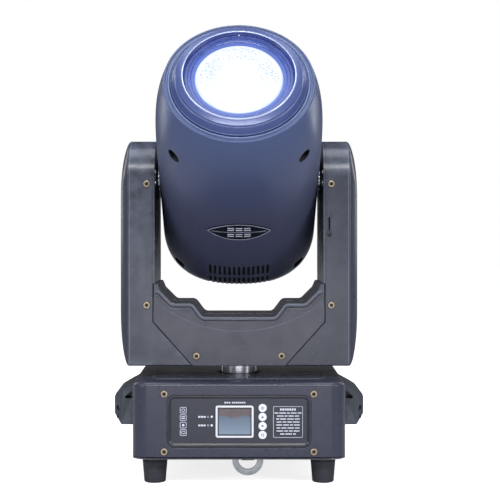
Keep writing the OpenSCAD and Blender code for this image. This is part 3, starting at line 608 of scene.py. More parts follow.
def frame_bar(width, height, r, line, centre, y, thick=PRINT_T, plane="xz", steps=4):
    """Thin frame with round corners on a face that looks towards -Y."""
    outer = rect(width, height, r, centre, steps)
    inner = rect(width - 2 * line, height - 2 * line, max(0.1, r - line), centre, steps)
    place = PLANES[plane]
    rings = [[place(u, v, t) for u, v in loop] for loop, t in
             ((outer, y), (outer, y - thick), (inner, y - thick), (inner, y), (outer, y))]
    return skin("frame", rings, caps=False)


# ---------- base ----------

def base_cover():
    levels = [(2.8, 0), (BASE_TOP - EDGE_R, 0)]
    for a in range(12, 91, 13):
        turn = math.radians(a)
        levels.append((BASE_TOP - EDGE_R + EDGE_R * math.sin(turn), EDGE_R * (1 - math.cos(turn))))
    rings = []
    for z, inset in levels:
        outline = rect(BASE_W - 2 * inset, BASE_D - 2 * inset, CORNER_R - inset, steps=14)
        rings.append([(u, v, z) for u, v in outline])
    cover = skin("base_cover", rings)
    room = rect(BASE_W - 2 * WALL, BASE_D - 2 * WALL, CORNER_R - WALL)
    cuts = [extrude("hollow", room, 1, BASE_TOP - WALL, "xy")]
    cuts.append(extrude("bore", circle(30), 90, 120, "xy"))
    opening = rect(*PANEL_SIZE, (0, PANEL_Z), 10)
    cuts.append(extrude("front", opening, -130, -112))
    cuts.append(extrude("rear", opening, 112, 130))
    carve(cover, cuts)
    bevel(cover, 0.9, 3)
    piece(shade(cover, 40, True), "base", "base_abs", mat_base, "base_shell")
    top = extrude("base_top_panel", rect(246, 176, 10, steps=8), BASE_TOP - 0.6, 107, "xy")
    carve(top, [extrude("bore", circle(33, count=64), 90, 120, "xy")])
    piece(shade(bevel(top, 0.6, 3), 40, True), "base", "base_abs", mat_base)
    # Painted highlight: a light line round the edge of the top panel.
    line = frame_bar(241, 171, 8, 0.9, (0, 0), 107.16, 0.3, "xy", 8)
    line.name = "base_top_highlight_line"
    piece(shade(line, 40), "base", "base_abs", mat_painted_highlight)


def panel_sheet(y):
    """Film with its openings, and the trough frame around it."""
    sheet = rect(PANEL_SIZE[0] - 12, PANEL_SIZE[1] - 11, 7, (0, PANEL_Z + 0.7))
    film = extrude("panel_film_sheet", sheet, y - FILM_T, y)
    # Inset from the opening, height over the panel and lift of each line along the frame
    section = ((1.2, 0.02, 0), (1.4, 2.1, 0), (2.6, 2.2, 0), (5, 0.5, 0.4), (5.8, 0.3, 0.7),
               (5.8, 0.02, 0.7), (1.2, 0.02, 0))
    loops = []
    for inset, drop, lift in section:
        width = PANEL_SIZE[0] - 2 * inset
        height = PANEL_SIZE[1] - 2 * inset + lift * 0.6
        loop = rect(width, height, max(1, 10.6 - inset), (0, PANEL_Z + lift), 8)
        loops.append([(u, y - drop, v) for u, v in loop])
    trough = skin("panel_trough_frame", loops, caps=False)
    piece(shade(trough, 30, True), "base", "panel_film", mat_trough)
    cuts = [extrude("window", rect(WINDOW[0] + 1, WINDOW[1] + 1, 1, DISPLAY_AT), y - 2, y + 2)]
    for i in range(4):
        place = (BUTTON_X, BUTTON_TOP - i * BUTTON_PITCH)
        cuts.append(extrude("hole", circle(5.95, place), y - 2, y + 2))
    for z in LIGHT_Z:
        cuts.append(extrude("hole", circle(1.8, (LIGHT_X, z), 24), y - 2, y + 2))
    carve(film, cuts)
    piece(shade(bevel(film, 0.15), 40, True), "base", "panel_film", mat_film)


def panel_print(face):
    """Plain bars and outlines where the panel has its symbols and captions."""
    prints = [frame_bar(9, 8.6, 1.6, 0.7, (ICON_X, z), face) for z in ICON_Z]
    first, second, third, fourth = ICON_Z
    prints.append(frame_bar(4.6, 4.6, 2.2, 0.7, (ICON_X, first), face))
    for low, high in ((0.6, 1.8), (-1.8, -0.6)):
        prints.append(slab(ICON_X - 2.6, ICON_X + 2.6, second + low, second + high, face))
    prints.append(slab(ICON_X - 1.6, ICON_X + 1.6, third - 1.6, third + 1.6, face))
    prints.append(frame_bar(6, 3.6, 1.7, 0.7, (ICON_X, fourth), face))
    for z in LIGHT_Z:
        for k in range(3):
            prints.append(slab(-55.8 + 3.6 * k, -52.9 + 3.6 * k, z - 1.2, z + 1.2, face))
        for lift in (0.5, -1.1):
            prints.append(slab(-43.6, -41.4, z + lift, z + lift + 0.6, face, r=0.1))
    for k in range(3):
        prints.append(slab(-20 + 2.9 * k, -17.8 + 2.9 * k, 76.6, 78.6, face))
    for k in range(7):
        prints.append(slab(-9.6 + 2.7 * k, -7.6 + 2.7 * k, 76.6, 78.6, face))
    prints.append(frame_bar(40.4, 42.8, 1.2, 0.5, LABEL_AT, face))
    for k in range(7):
        prints.append(slab(56.2 + 3.2 * k, 58.6 + 3.2 * k, 66.8, 69.6, face))
    gap = 1.4
    rows = ((5, 9, 4, 8, 5), (9, 4, 7, 6), (4, 8, 9, 7), (7, 5, 6, 9), (8, 8, 4, 8),
            (5, 7, 9, 6), (9, 5, 5, 8), (6, 9, 4))
    for row, lengths in enumerate(rows):
        z = 63.4 - 4.1 * row
        x = LABEL_AT[0] - (sum(lengths) + gap * (len(lengths) - 1)) / 2
        for length in lengths:
            prints.append(slab(x, x + length, z - 0.7, z + 0.7, face, r=0.2))
            x += length + gap
    piece(shade(join("panel_print", prints), 40), "base", "white_print", mat_print)


def display(y, face):
    rim = frame_bar(52, 44, 3, 2.7, DISPLAY_AT, face, 0.7, steps=6)
    rim.name = "display_surround"
    piece(shade(bevel(rim, 0.25), 40, True), "base", "white_print", mat_frame, "display_frame")
    dark = frame_bar(WINDOW[0], WINDOW[1], 1, 1.5, DISPLAY_AT, y, 0.5)
    dark.name = "display_inner_bezel"
    piece(shade(bevel(dark, 0.15), 40, True), "base", "dark_plastic", mat_bezel)
    pane = rect(WINDOW[0] - 2.6, WINDOW[1] - 2.6, 0.8, DISPLAY_AT)
    glass = extrude("display_glass_pane", pane, y - 0.15, y + 5)
    piece(shade(bevel(glass, 0.2), 40, True), "base", "screen", mat_screen, "display_screen")


def front_panel():
    y = -PANEL_FACE
    panel_sheet(y)
    panel_print(y - FILM_T)
    display(y, y - FILM_T)
    profile = [(0, 0.95), (0.7, 0.9), (1.3, 0.6), (1.62, 0), (1.62, -5), (0, -5)]
    lamps = [moved(lathe("lamp", profile, 24), at(LIGHT_X, y, z, 90)) for z in LIGHT_Z]
    piece(shade(join("status_lamps", lamps), 50), "base", "light_pipe", mat_pipe, "status_lights")


def buttons():
    profile = [(0, 5.5), (3.4, 5.5), (4.4, 5.66), (5.05, 5.6), (5.5, 5.3), (5.68, 4.9), (5.68, 1.2),
               (6, 1.2), (6, 0), (0, 0)]
    names = ("menu", "up", "down", "enter")
    face = -BUTTON_SEAT - BUTTON_H
    for i, name in enumerate(names):
        z = BUTTON_TOP - i * BUTTON_PITCH
        cap = moved(lathe(name + "_button_cap", profile, 48), at(BUTTON_X, -BUTTON_SEAT, z, 90))
        piece(shade(cap, 40), "button_" + name, "button_white", mat_button, name + "_button")
        if name == "menu":
            marks = []
            for k in (-1, 0, 1):
                row = z + k * 1.5
                marks.append(slab(BUTTON_X - 2, BUTTON_X + 2, row - 0.35, row + 0.35, face))
        elif name == "enter":
            marks = [frame_bar(3.6, 3.6, 0.8, 0.7, (BUTTON_X, z), face)]
        else:
            tip = 1.7 if name == "up" else -1.7
            arrow = [(BUTTON_X - 2, z - tip * 0.7), (BUTTON_X + 2, z - tip * 0.7), (BUTTON_X, z + tip)]
            marks = [extrude("arrow", fillet(arrow, 0.3, 3), face - PRINT_T, face)]
        piece(shade(join(name + "_button_mark", marks), 40), "button_" + name, "dark_plastic", mat_mark)


def rear_fittings():
    y = PANEL_FACE
    sheet = rect(PANEL_SIZE[0] - 2, PANEL_SIZE[1] - 2, 9.6, (0, PANEL_Z))
    film = extrude("rear_panel_film", sheet, y, y + FILM_T)
    centres = ((-80, "power"), (-45, "power"), (10, "data"), (45, "data"))
    cuts = [extrude("hole", circle(12, (x, PANEL_Z)), y - 2, y + 3) for x, _ in centres]
    cuts.append(extrude("hole", circle(6.5, (-15, PANEL_Z)), y - 2, y + 3))
    carve(film, cuts)
    piece(shade(bevel(film, 0.15), 40, True), "base", "panel_film", mat_film)
    kinds = {"power": [], "data": []}
    pins = []
    for x, kind in centres:
        body = extrude("flange", rect(26, 31, 3, (x, PANEL_Z)), y + FILM_T, y + 2)
        tube = moved(lathe("tube", [(9.4, 1.2), (9.9, 2), (11.2, 2), (12, 1.2), (12, -19), (0, -19),
                                    (0, -12), (9.4, -12)], 64), at(x, y + 0.6, PANEL_Z, -90))
        carve(body, [extrude("hole", circle(11.9, (x, PANEL_Z), 64), y - 2, y + 5)])
        kinds[kind] += [bevel(body, 0.5), tube]
        for sx, sz in ((-10, 12.5), (10, -12.5)):
            place = at(x + sx, y + 1.9, PANEL_Z + sz, -90) @ Matrix.Scale(0.45, 4)
            pins.append(moved(cap_screw("screw"), place))
        for k in range(3):
            a = math.radians(90 + 120 * k)
            length = 6 if kind == "power" else 9
            pin = lathe("pin", [(0, length), (0.9, length), (1.3, length - 0.6), (1.3, 0), (0, 0)], 16)
            pins.append(moved(pin, at(x + 4.6 * math.cos(a), y - 11.4, PANEL_Z + 4.6 * math.sin(a), -90)))
    piece(shade(join("power_socket_set", kinds["power"]), 40, True), "base", "blue_plastic", mat_blue)
    data = shade(join("data_socket_set", kinds["data"]), 40, True)
    piece(data, "base", "dark_plastic", mat_dark, "data_sockets")
    piece(shade(join("socket_contacts", pins), 40), "base", "plated_steel", mat_steel)
    profile = [(0, 3.4), (5, 3.4), (5.6, 3.9), (7.4, 3.9), (8, 3.3), (8, 0), (6, 0), (6, -21), (0, -21)]
    holder = moved(lathe("fuse_holder", profile, 48), at(-15, y + FILM_T, PANEL_Z, -90))
    carve(holder, [extrude("slot", rect(8, 1.4, 0.4, (-15, PANEL_Z)), y + 2.6, y + 9)])
    piece(shade(holder, 35), "base", "dark_plastic", mat_dark, "power_sockets")
    prints = []
    for x, _ in centres:
        for k in range(5):
            bar = rect(2.8, 1.8, 0.3, (x - 9 + 3.8 * k, PANEL_Z - 21), 2)
            prints.append(extrude("bar", bar, y + FILM_T, y + FILM_T + PRINT_T))
    for k in range(16):
        bar = rect(4, 1.3, 0.3, (66 + 6 * (k % 4), 62 - 6 * (k // 4)), 2)
        prints.append(extrude("bar", bar, y + FILM_T, y + FILM_T + PRINT_T))
    piece(shade(join("rear_panel_print", prints), 40), "base", "white_print", mat_print)


def handles():
    inner = BASE_W / 2
    outer = inner + HANDLE_REACH
    outline = fillet([(inner, 39.5), (inner + 19, 39.5), (outer, 54), (outer, 77), (outer - 2.4, 83),
                      (outer - 12.6, 88.5), (inner + 1.8, 97), (inner, 97)],
                     [0, 3, 5, 5, 5, 8, 2, 0], 5)
    plan = fillet([(inner - 1, -65), (inner + 19, -65), (outer + 0.1, -50), (outer + 0.1, 50),
                   (inner + 19, 65), (inner - 1, 65)], [0, 4, 4, 4, 4, 0], 4)
    for name, mirror in (("right", 1), ("left", -1)):
        grip = extrude("grip", outline, -65, 65)
        collars = []
        carve(grip, [extrude("plan", plan, 20, 120, "xy")], "INTERSECT")
        room = fillet([(inner - 2, 30), (inner + 20, 30), (inner + 20, 58), (inner + 21, 72),
                       (inner + 12, 83.5), (inner + 6, 88), (inner - 2, 88)], [0, 0, 3, 3, 4, 2, 0], 4)
        cuts = [extrude("room", room, -37, 37)]
        pocket = fillet([(inner + 4, 76.2), (inner + 13, 76.2), (inner + 14, 79), (inner + 4, 87.7)], 1, 3)
        for side in (-1, 1):
            ends = sorted((side * 40, side * 72))
            cuts.append(extrude("pocket", pocket, *ends))
            for z, r, depth in ((62, 3.9, 8), (50.5, 2.2, 6)):
                bore = lathe("bore", [(0, -depth), (r * 0.9, -depth), (r, 4), (0, 4)], 32)
                place = Matrix.Translation((inner * MM + 0.0245, side * 0.0575, z * MM))
                place = place @ Matrix.Rotation(math.radians(-54 * side), 4, "Z")
                place = place @ Matrix.Rotation(math.radians(-90 * side), 4, "X")
                cuts.append(moved(bore, place))
                collar = [(r + 0.2, -1), (r + 1.5, -1), (r + 1.5, 0.2), (r + 1.2, 0.6), (r + 0.5, 0.6),
                          (r + 0.2, 0.3)]
                collars.append(moved(lathe("collar", collar, 32, True), place))
        carve(grip, cuts)
        bevel(grip, 0.8, 3)
        grip = join(name + "_handle_cover", [grip] + collars)
        if mirror < 0:
            moved(grip, MIRROR_X)
        piece(shade(grip, 40, True), "base", "black_abs", mat_handle, name + "_handle")


def feet_and_ring():
    profile = [(0, -36), (13.6, -36), (14.7, -35.4), (15, -34.2), (17.3, -6.4), (16.5, -5.9), (16.5, -4.9),
               (17.5, -4.4), (18, 0), (0, 0)]
    parts = []
    for x in (-FOOT_AT[0], FOOT_AT[0]):
        for y in (-FOOT_AT[1], FOOT_AT[1]):
            parts.append(moved(lathe("foot", profile, 64), at(x, y, 0)))
    piece(shade(join("rubber_feet", parts), 38), "base", "foot_rubber", mat_rubber, "feet")

    ring_x, ring_y = RING_AT
    pivot_z, centre_z = RING_Z
    section = fillet([(13.2, -2.5), (22, -2.5), (22, 2.5), (13.2, 2.5)], 1.3, 4)
    rings = []
    steps = 64
    for k in range(steps + 1):
        a = math.radians(160 + 220 * k / steps)
        cos, sin = math.cos(a), math.sin(a)
        rings.append([(ring_x + r * cos, ring_y + t, centre_z + r * sin) for r, t in section])
    hoop = skin("hoop", rings)
    bar_profile = [(0, -21), (2.4, -21), (3.1, -20.3), (3.1, -12.6), (4, -12), (4, 12), (3.1, 12.6),
                   (3.1, 20.3), (2.4, 21), (0, 21)]
    bar = moved(lathe("bar", bar_profile, 32), at(ring_x, ring_y, pivot_z, 90, "Y"))
    piece(shade(join("safety_hoop", [hoop, bar]), 38), "ring", "plated_steel", mat_ring, "safety_ring")

    spindle = [(22, 98.5), (45, 98.5), (45, 104.5), (27.5, 104.5)]
    for z in (109.4, 113.2, 117):
        spindle += [(27.5, z), (27.2, z + 0.3), (27.2, z + 0.9), (27.5, z + 1.2)]
    spindle += [(27.5, 168), (27, 168.5), (22.4, 168.5), (22, 168)]
    tube = lathe("spindle_tube", spindle, 128, True)
    piece(shade(tube, 30), "base", "turned_steel", mat_turned, "pan_spindle")


# ---------- yoke ----------

def arm_side(half, bottom, top, r, low_r=3, steps=20):
    """Side view of an arm in Y and Z."""
    corners = [(-half, bottom), (half, bottom), (half, top), (-half, top)]
    return fillet(corners, [low_r, low_r, r, r], steps)


def arm_housings():
    low, top = YOKE_Z
    front = [(CREASE, low), (CREASE, top), (ARM_INNER, top), (ARM_INNER, 238.5), (SEAM_X + 0.4, 238.5),
             (SEAM_X + 0.4, 184.5), (65.9, low)]
    hollow = [(CREASE + 1, low + WALL), (CREASE + 1, top - WALL), (SEAM_X, top - WALL), (SEAM_X, 238.5),
              (SEAM_X - 10, 238.5), (SEAM_X - 10, 184.5), (50.5, low + WALL)]
    for name, mirror in (("right", 1), ("left", -1)):
        arm = extrude(name + "_arm_body", front, -YOKE_HALF, YOKE_HALF)
        side = extrude("side", arm_side(YOKE_HALF, low, top, ARM_R, 2, 28), 0, CREASE + 5, "yz")
        carve(arm, [side], "INTERSECT")
        bevel(arm, 1.3, 3)
        inner = extrude("inner", hollow, -YOKE_HALF + WALL, YOKE_HALF - WALL)
        inner_side = arm_side(YOKE_HALF - WALL, low + WALL, top - WALL, ARM_R - WALL, 1)
        rounded = extrude("rounded", inner_side, 0, 200, "yz")
        carve(inner, [rounded], "INTERSECT")
        cuts = [inner, extrude("axle", circle(17, (0, TILT_Z)), ARM_INNER - 3, SEAM_X + 3, "yz")]
        if mirror > 0:
            slot = rect(2.2, 28, 1.05, (LOCK_X, sum(LOCK_Z) / 2))
            cuts.append(extrude("slot", slot, -YOKE_HALF - 2, -YOKE_HALF + WALL + 2))
        loops = []
        near, far = SEAM_X + 0.5, SEAM_X + 1.3
        for x, grow in ((near, 1), (far, 1), (far, -1.1), (near, -1.1)):
            seam = arm_side(YOKE_HALF + grow, low + 62, top + grow, ARM_R + grow, 0, 28)
            loops.append([(x, y, z) for y, z in seam])
        cuts.append(skin("seam", loops + [loops[0]], caps=False))
        carve(arm, cuts)
        # Painted highlight: a light strip on the front face along its outer edge at the crease.
        loops = []
        near, far = CREASE - 2.3, CREASE - 1.4
        for x, grow in ((near, 0.14), (far, 0.14), (far, -0.5), (near, -0.5)):
            line = arm_side(YOKE_HALF + grow, low + 3, top + grow, ARM_R + grow, 0, 28)
            loops.append([(x, y, z) for y, z in line])
        edge = skin(name + "_arm_edge_highlight", loops + [loops[0]], caps=False)
        if mirror < 0:
            moved(arm, MIRROR_X)
            moved(edge, MIRROR_X)
        piece(shade(edge, 40), "yoke", "black_abs", mat_painted_highlight)
        piece(shade(arm, 35, True), "yoke", "black_abs", mat_arm, name + "_arm_housing")


def arm_domes():
    low, top = YOKE_Z
    start = CREASE + 0.7
    depth = ARM_OUTER - start
    levels = [(start - 1.5, 0.8, 0.8, 0.8), (start, 0.8, 0.8, 0.8)]
    steps = 22
    for k in range(steps + 1):
        u = k / steps
        t = 1 - (1 - u) ** 2
        swell = 1 - (1 - t ** 1.5) ** 0.62
        side = 0.8 + 16.2 * (0.5 * t + 0.5 * swell)
        levels.append((start + depth * t, side, 0.8 + 48.7 * swell, 0.8 + 44.2 * swell))
    for name, mirror in (("right", 1), ("left", -1)):
        rings = []
        for x, side, bottom, over in levels:
            outline = arm_side(YOKE_HALF - side, low + bottom, top - over, ARM_R - 0.7 * side,
                               2 + 0.5 * bottom, 18)
            rings.append([(mirror * x, y, z) for y, z in outline])
        dome = skin(name + "_dome", rings)
        piece(shade(dome, 50), "yoke", "black_abs", mat_dome, name + "_arm_cover")


def beside(path, distance):
    """Line at the given distance to the left of a path."""
    out = []
    for k in range(len(path)):
        before = Vector(path[max(0, k - 1)])
        after = Vector(path[min(len(path) - 1, k + 1)])
        ahead = (after - before).normalized()
        out.append((path[k][0] - ahead.y * distance, path[k][1] + ahead.x * distance))
    return out


def crossbar():
    top = [(SEAM_X - 0.4, 238.5), (115, 238.5), (110.8, 228.5), (93.3, 211), (65, 211), (50.7, 192)]
    top_r = [0, 3, 8, 9, 10, 9]

    def outline(drop, in_x):
        right = [(x - (in_x if i == 0 else 0), z - drop) for i, (x, z) in enumerate(top)]
        left = [(-x, z) for x, z in reversed(right)]
        floor = [(-SEAM_X + 0.4 + in_x, 184.7), (-65.3, YOKE_Z[0]), (65.3, YOKE_Z[0]),
                 (SEAM_X - 0.4 - in_x, 184.7)]
        radii = top_r + top_r[::-1] + [0, 0, 0, 0]
        return fillet(right + left + floor, radii, 7)

    def arc(r, steps=50):
        points = []
        for k in range(steps + 1):
            a = math.radians(225 + 90 * k / steps)
            points.append((r * math.cos(a), RECESS_Z + r * math.sin(a)))
        return points

    hollow_floor = [(-SEAM_X - 9, YOKE_Z[0] + WALL), (SEAM_X + 9, YOKE_Z[0] + WALL)]
    hollow = [(x + (9 if i == 0 else 0), z - 3) for i, (x, z) in enumerate(top)]
    hollow = hollow + [(-x, z) for x, z in reversed(hollow)] + hollow_floor
    cover_z = RECESS_Z - math.sqrt(RECESS_R ** 2 - SEAM_X ** 2)
    for name, turn in (("front", 0), ("rear", 180)):
        body = extrude("body", outline(0, 0), -YOKE_HALF + RECESS_T, -7)
        bevel(body, 1.1, 3)
        carve(body, [extrude("hollow", hollow, -YOKE_HALF + WALL + 1, 1),
                     extrude("bore", circle(32, count=64), 100, YOKE_Z[0] + WALL + 1, "xy")])
        middle = extrude("middle", outline(4.5, 1), -7.5, 0.5)
        inside = [(x * 0.985, z - 4.5) for x, z in hollow[:12]]
        carve(middle, [extrude("hollow", inside + hollow_floor, -9, 3),
                       extrude("bore", circle(32, count=64), 100, YOKE_Z[0] + WALL + 1, "xy")])
        lower = [(SEAM_X - 0.4, cover_z + 12), (-SEAM_X + 0.4, cover_z + 12), (-SEAM_X + 0.4, 184.7),
                 (-65.3, YOKE_Z[0]), (65.3, YOKE_Z[0]), (SEAM_X - 0.4, 184.7)]
        plate = extrude("plate", lower, -YOKE_HALF, -YOKE_HALF + RECESS_T + 0.4)
        disc = extrude("disc", arc(RECESS_R) + [(200, 500), (-200, 500)], -YOKE_HALF - 2, -YOKE_HALF + 4)
        carve(plate, [disc])
        bevel(plate, 1.1, 3)
        path = [(SEAM_X - 4.6, 230)] + top[2:]
        path = path + [(-u, v) for u, v in reversed(path)]
        corner_r = [0] + top_r[2:] + top_r[2:][::-1] + [0]
        path = fillet(path, corner_r, 7, closed=False)
        face_y = -YOKE_HALF + RECESS_T
        ridges = []
        # Five strips along the top contour: two light lines painted as highlights, two raised ridges, and a
        # near-flat black strip painted as the shadow line between the ridges.
        for start, end, lift in ((0.9, 2.6, 0.9), (2.2, 4.6, 1.3), (8.6, 10.2, 1), (5, 6.8, 0.12),
                                 (7, 7.9, 0.5)):
            rings = []
            section = ((start, -0.3), (start + 0.25, lift), (end - 0.25, lift), (end, -0.3))
            for depth, rise in section + section[:1]:
                rings.append([(u, face_y - rise, v) for u, v in beside(path, depth)])
            ridges.append(skin("ridge", rings, closed=False, caps=False))
        upper_highlight, upper, lower_ridge, groove_shadow_strip, lower_highlight = ridges
        edges = [upper_highlight, lower_highlight]
        ridges = [upper, lower_ridge]
        # Painted highlight along the edge of the round recess.
        rings = []
        for r, y in ((RECESS_R + 0.9, -YOKE_HALF + 0.2), (RECESS_R + 0.9, -YOKE_HALF - 0.06),
                     (RECESS_R + 0.3, -YOKE_HALF + 0.1), (RECESS_R + 0.1, -YOKE_HALF + 0.6),
                     (RECESS_R + 0.9, -YOKE_HALF + 0.6), (RECESS_R + 0.9, -YOKE_HALF + 0.2)):
            rings.append([(u, y, v) for u, v in arc(r) if abs(u) < SEAM_X - 1.5])
        edges.append(skin("arc_highlight", rings, closed=False, caps=False))
        # The black strip is painted shadow; the light lines are painted highlights.
        dark = join(name + "_crossbar_shadow_line", [groove_shadow_strip])
        light = join(name + "_crossbar_highlight_lines", edges)
        for part, material in ((dark, mat_black), (light, mat_painted_highlight)):
            if turn:
                moved(part, HALF_TURN)
            piece(shade(part, 40), "yoke", "black_abs", material)
        cover = join(name + "_crossbar_body", [body, middle, plate] + ridges)
        if turn:
            moved(cover, HALF_TURN)
        piece(shade(cover, 35, True), "yoke", "black_abs", mat_bar, "crossbar_" + name + "_cover")


def yoke_fittings():
    places = []
    for turn in (0, 180):
        spin = Matrix.Rotation(math.radians(turn), 4, "Z")
        for side in (-1, 1):
            for z in SCREW_Z:
                places.append(spin @ at(side * SCREW_X, -YOKE_HALF, z, 90))
            places.append(spin @ at(side * BAR_SCREW[0], -YOKE_HALF, BAR_SCREW[1], 90))
    screws("yoke_cap_screws", places, "yoke", "bronze_screw", mat_bronze, "yoke_screws")
    places = []
    for side in (-1, 1):
        for z in BASE_SCREW_Z:
            places.append(at(side * BASE_SCREW_X, -BASE_D / 2, z, 90))
            places.append(at(side * BASE_SCREW_X, BASE_D / 2, z, -90))
    screws("base_cap_screws", places, "base", "bronze_screw", mat_bronze, "base_screws")

    bolts = []
    for side in (-1, 1):
        for z in (396.5, 381.6):
            bolt = lathe("bolt", [(0, 1.9), (1.5, 1.9), (2.1, 1.3), (2.3, 0.5), (2.3, -1), (0, -1)], 24)
            bolts.append(moved(bolt, at(side * ARM_INNER, -61, z, -90 * side, "Y")))
    piece(shade(join("arm_hub_bolts", bolts), 45), "yoke", "plated_steel", mat_steel)

    rings = []
    for side in (-1, 1):
        ring = lathe("ring", [(17.2, 0), (30, 0), (31, -0.4), (31.6, -1.4), (17.2, -1.4)], 96, True)
        rings.append(moved(ring, at(side * (ARM_INNER - 1.2), 0, TILT_Z, -90 * side, "Y")))
    piece(shade(join("axle_seal_rings", rings), 40), "yoke", "dark_plastic", mat_dark)


def tilt_lock():
    """Raised outline round the lock's slot, and the knob that slides in it."""
    x = LOCK_X
    low, high = LOCK_Z
    loop = []
    for a in range(0, 181, 15):
        turn = math.radians(a)
        loop.append((x + 4.2 * math.cos(turn), high + 3 + 4.2 * math.sin(turn)))
    loop += [(x - 2.6, high + 1), (x - 2.6, low - 1)]
    for a in range(180, 361, 15):
        turn = math.radians(a)
        loop.append((x + 4.2 * math.cos(turn), low - 3 + 4.2 * math.sin(turn)))
    loop += [(x + 2.6, low - 1), (x + 2.6, high + 1)]
    middle = (low + high) / 2
    inner = [(x + (u - x) * 0.75, v + (0.9 if v < middle else -0.9)) for u, v in loop]
    y = -YOKE_HALF
    section = ((loop, y + 0.3), (loop, y - 0.45), (inner, y - 0.45), (inner, y + 0.3), (loop, y + 0.3))
    rings = [[(u, t, v) for u, v in points] for points, t in section]
    ridge = skin("tilt_lock_outline", rings, caps=False)
    piece(shade(bevel(ridge, 0.15), 40, True), "yoke", "black_abs", mat_arm)

    knob_z = low + 5
    knob = lathe("knob", [(0, 3), (2, 3), (2.9, 2.6), (3.2, 1.9), (3.2, 0.5), (0, 0.5)], 32)
    moved(knob, at(x, y, knob_z, 90))
    stem = extrude("stem", rect(1.9, 8, 0.6, (x, knob_z)), y - 1, y + WALL + 0.5)
    guide = extrude("guide", rect(5.2, 12, 0.6, (x, knob_z)), y + WALL + 0.4, y + WALL + 1.9)
    lock = shade(join("tilt_lock_knob", [knob, stem, guide]), 40)
    piece(lock, "lock", "dark_plastic", mat_dark, "tilt_lock")


# ---------- head ----------

def ease(t):
    u = min(max(t, 0), 1)
    return u * u * (3 - 2 * u)


def squareness(w):
    return 2.5 - 0.5 * ease((w - 60) / (FRONT - 60))


def shell_radius(w):
    if w < REAR + REAR_ROUND:
        s = (w - REAR - REAR_ROUND) / REAR_ROUND
        return REAR_FLAT_R + REAR_ROUND * math.sqrt(max(0, 1 - s * s))
    return HEAD_R - NOSE_DROP * (max(w - 100, 0) / (FRONT - 100)) ** 3


def surface_y(x, w, r=None):
    """Height of the shell's surface over the x axis, as a positive number."""
    n = squareness(w)
    r = shell_radius(w) if r is None else r
    return r * max(0, 1 - (abs(x) / r) ** n) ** (1 / n)


def shell_half(name, side):
    """Half of the head's casing with its two rows of vents, on the side of the given sign of y."""
    lip = shell_radius(FRONT - 1.8) - 1.8
    rows = [(REAR, 77.6), (REAR, 80)]
    rounding = [-130.6, -129.6, -128, -126, -123.4]
    rear_vent = [-120, -118.1] + list(range(-114, -93, 4)) + [-88.9, -87]
    front_vent = [-83.5, -81.6] + list(range(-76, -63, 6)) + [-58.9, -57, -52]
    barrel = list(range(-44, 100, 12)) + list(range(100, 141, 10))
    taper = [149, 158, 167, 175, 183, 190, 197, 204, 211]
    rows += [(w, shell_radius(w)) for w in rounding + rear_vent + front_vent + barrel + taper]
    for a in (0, 30, 60, 90):
        turn = math.radians(a)
        rows.append((FRONT - 1.8 + 1.8 * math.sin(turn), lip + 1.8 * math.cos(turn)))
    rows += [(FRONT - 0.4, 98), (FRONT - 1.5, 97.2), (FRONT - 1.5, 95.4), (FRONT - 0.3, 94.6), (FRONT, 94),
             (FRONT, 92.4), (FRONT - 0.7, 91.2), (FRONT - 3, 91.1)]
    centres = [(i - (VENT_COUNT - 1) / 2) * VENT_PITCH for i in range(VENT_COUNT)]
    middle = []
    for c in centres:
        middle += [c - VENT_HALF, c, c + VENT_HALF]
    shares = [0, 0.012] + [k / 20 for k in range(1, 21)]
    columns = [("low", u) for u in shares] + [("x", x) for x in middle]
    columns += [("high", u) for u in reversed(shares)]
    first_vent = len(shares)
    row_at = {}
    for i, (w, _) in enumerate(rows):
        row_at.setdefault(w, i)
    open_cells = set()
    shifted = {}
    notch = VENT_HALF * (1 - math.sqrt(0.5))
    for low, high in VENT_ROWS:
        first, last = row_at[low], row_at[high]
        for k, c in enumerate(centres):
            j = first_vent + 3 * k + 1
            for i in range(first, last):
                open_cells.update(((i, j - 1), (i, j)))
            for i, step in ((first, notch), (last, -notch)):
                for edge in (-1, 1):
                    shifted[(i, j + edge)] = (rows[i][0] + step, c + edge * (VENT_HALF - notch))
    verts = []
    for i, (w, r) in enumerate(rows):
        n = squareness(w)
        limit = math.acos((VENT_EDGE / r) ** (n / 2))
        for j, (kind, value) in enumerate(columns):
            if (i, j) in shifted:
                sw, x = shifted[(i, j)]
                verts.append((x, side * surface_y(x, sw), sw))
            elif kind == "x":
                verts.append((value, side * surface_y(value, w, r), w))
            else:
                a = value * limit
                x = r * math.cos(a) ** (2 / n) - (0.45 if value == 0 else 0)
                y = max(0.22, r * math.sin(a) ** (2 / n))
                verts.append((-x if kind == "low" else x, side * y, w))
    count = len(columns)
    faces = []
    for i in range(len(rows) - 1):
        for j in range(count - 1):
            if (i, j) not in open_cells:
                cell = (i * count + j, i * count + j + 1, (i + 1) * count + j + 1, (i + 1) * count + j)
                faces.append(cell if side < 0 else cell[::-1])
    mesh = bpy.data.meshes.new(name)
    mesh.from_pydata([Vector(v) * MM for v in verts], [], faces)
    obj = bpy.data.objects.new(name, mesh)
    scene.collection.objects.link(obj)
    thicken(obj, 2.3, -1, even=True)
    cuts = [moved(lathe("axle", [(0, -130), (17, -130), (17, 130), (0, 130)], 64), at(0, 0, 0, 90, "Y"))]
    for x, w, _ in SHELL_SCREWS:
        for s in (-1, 1):
            hole = lathe("hole", [(0, -40), (7.3, -40), (7.3, 130), (0, 130)], 48)
            cuts.append(moved(hole, at(s * x, 0, w, -90 * side)))
    carve(obj, cuts)
    bevel(obj, 0.35, 2, 48)
    return shade(moved(obj, HEAD), 42)


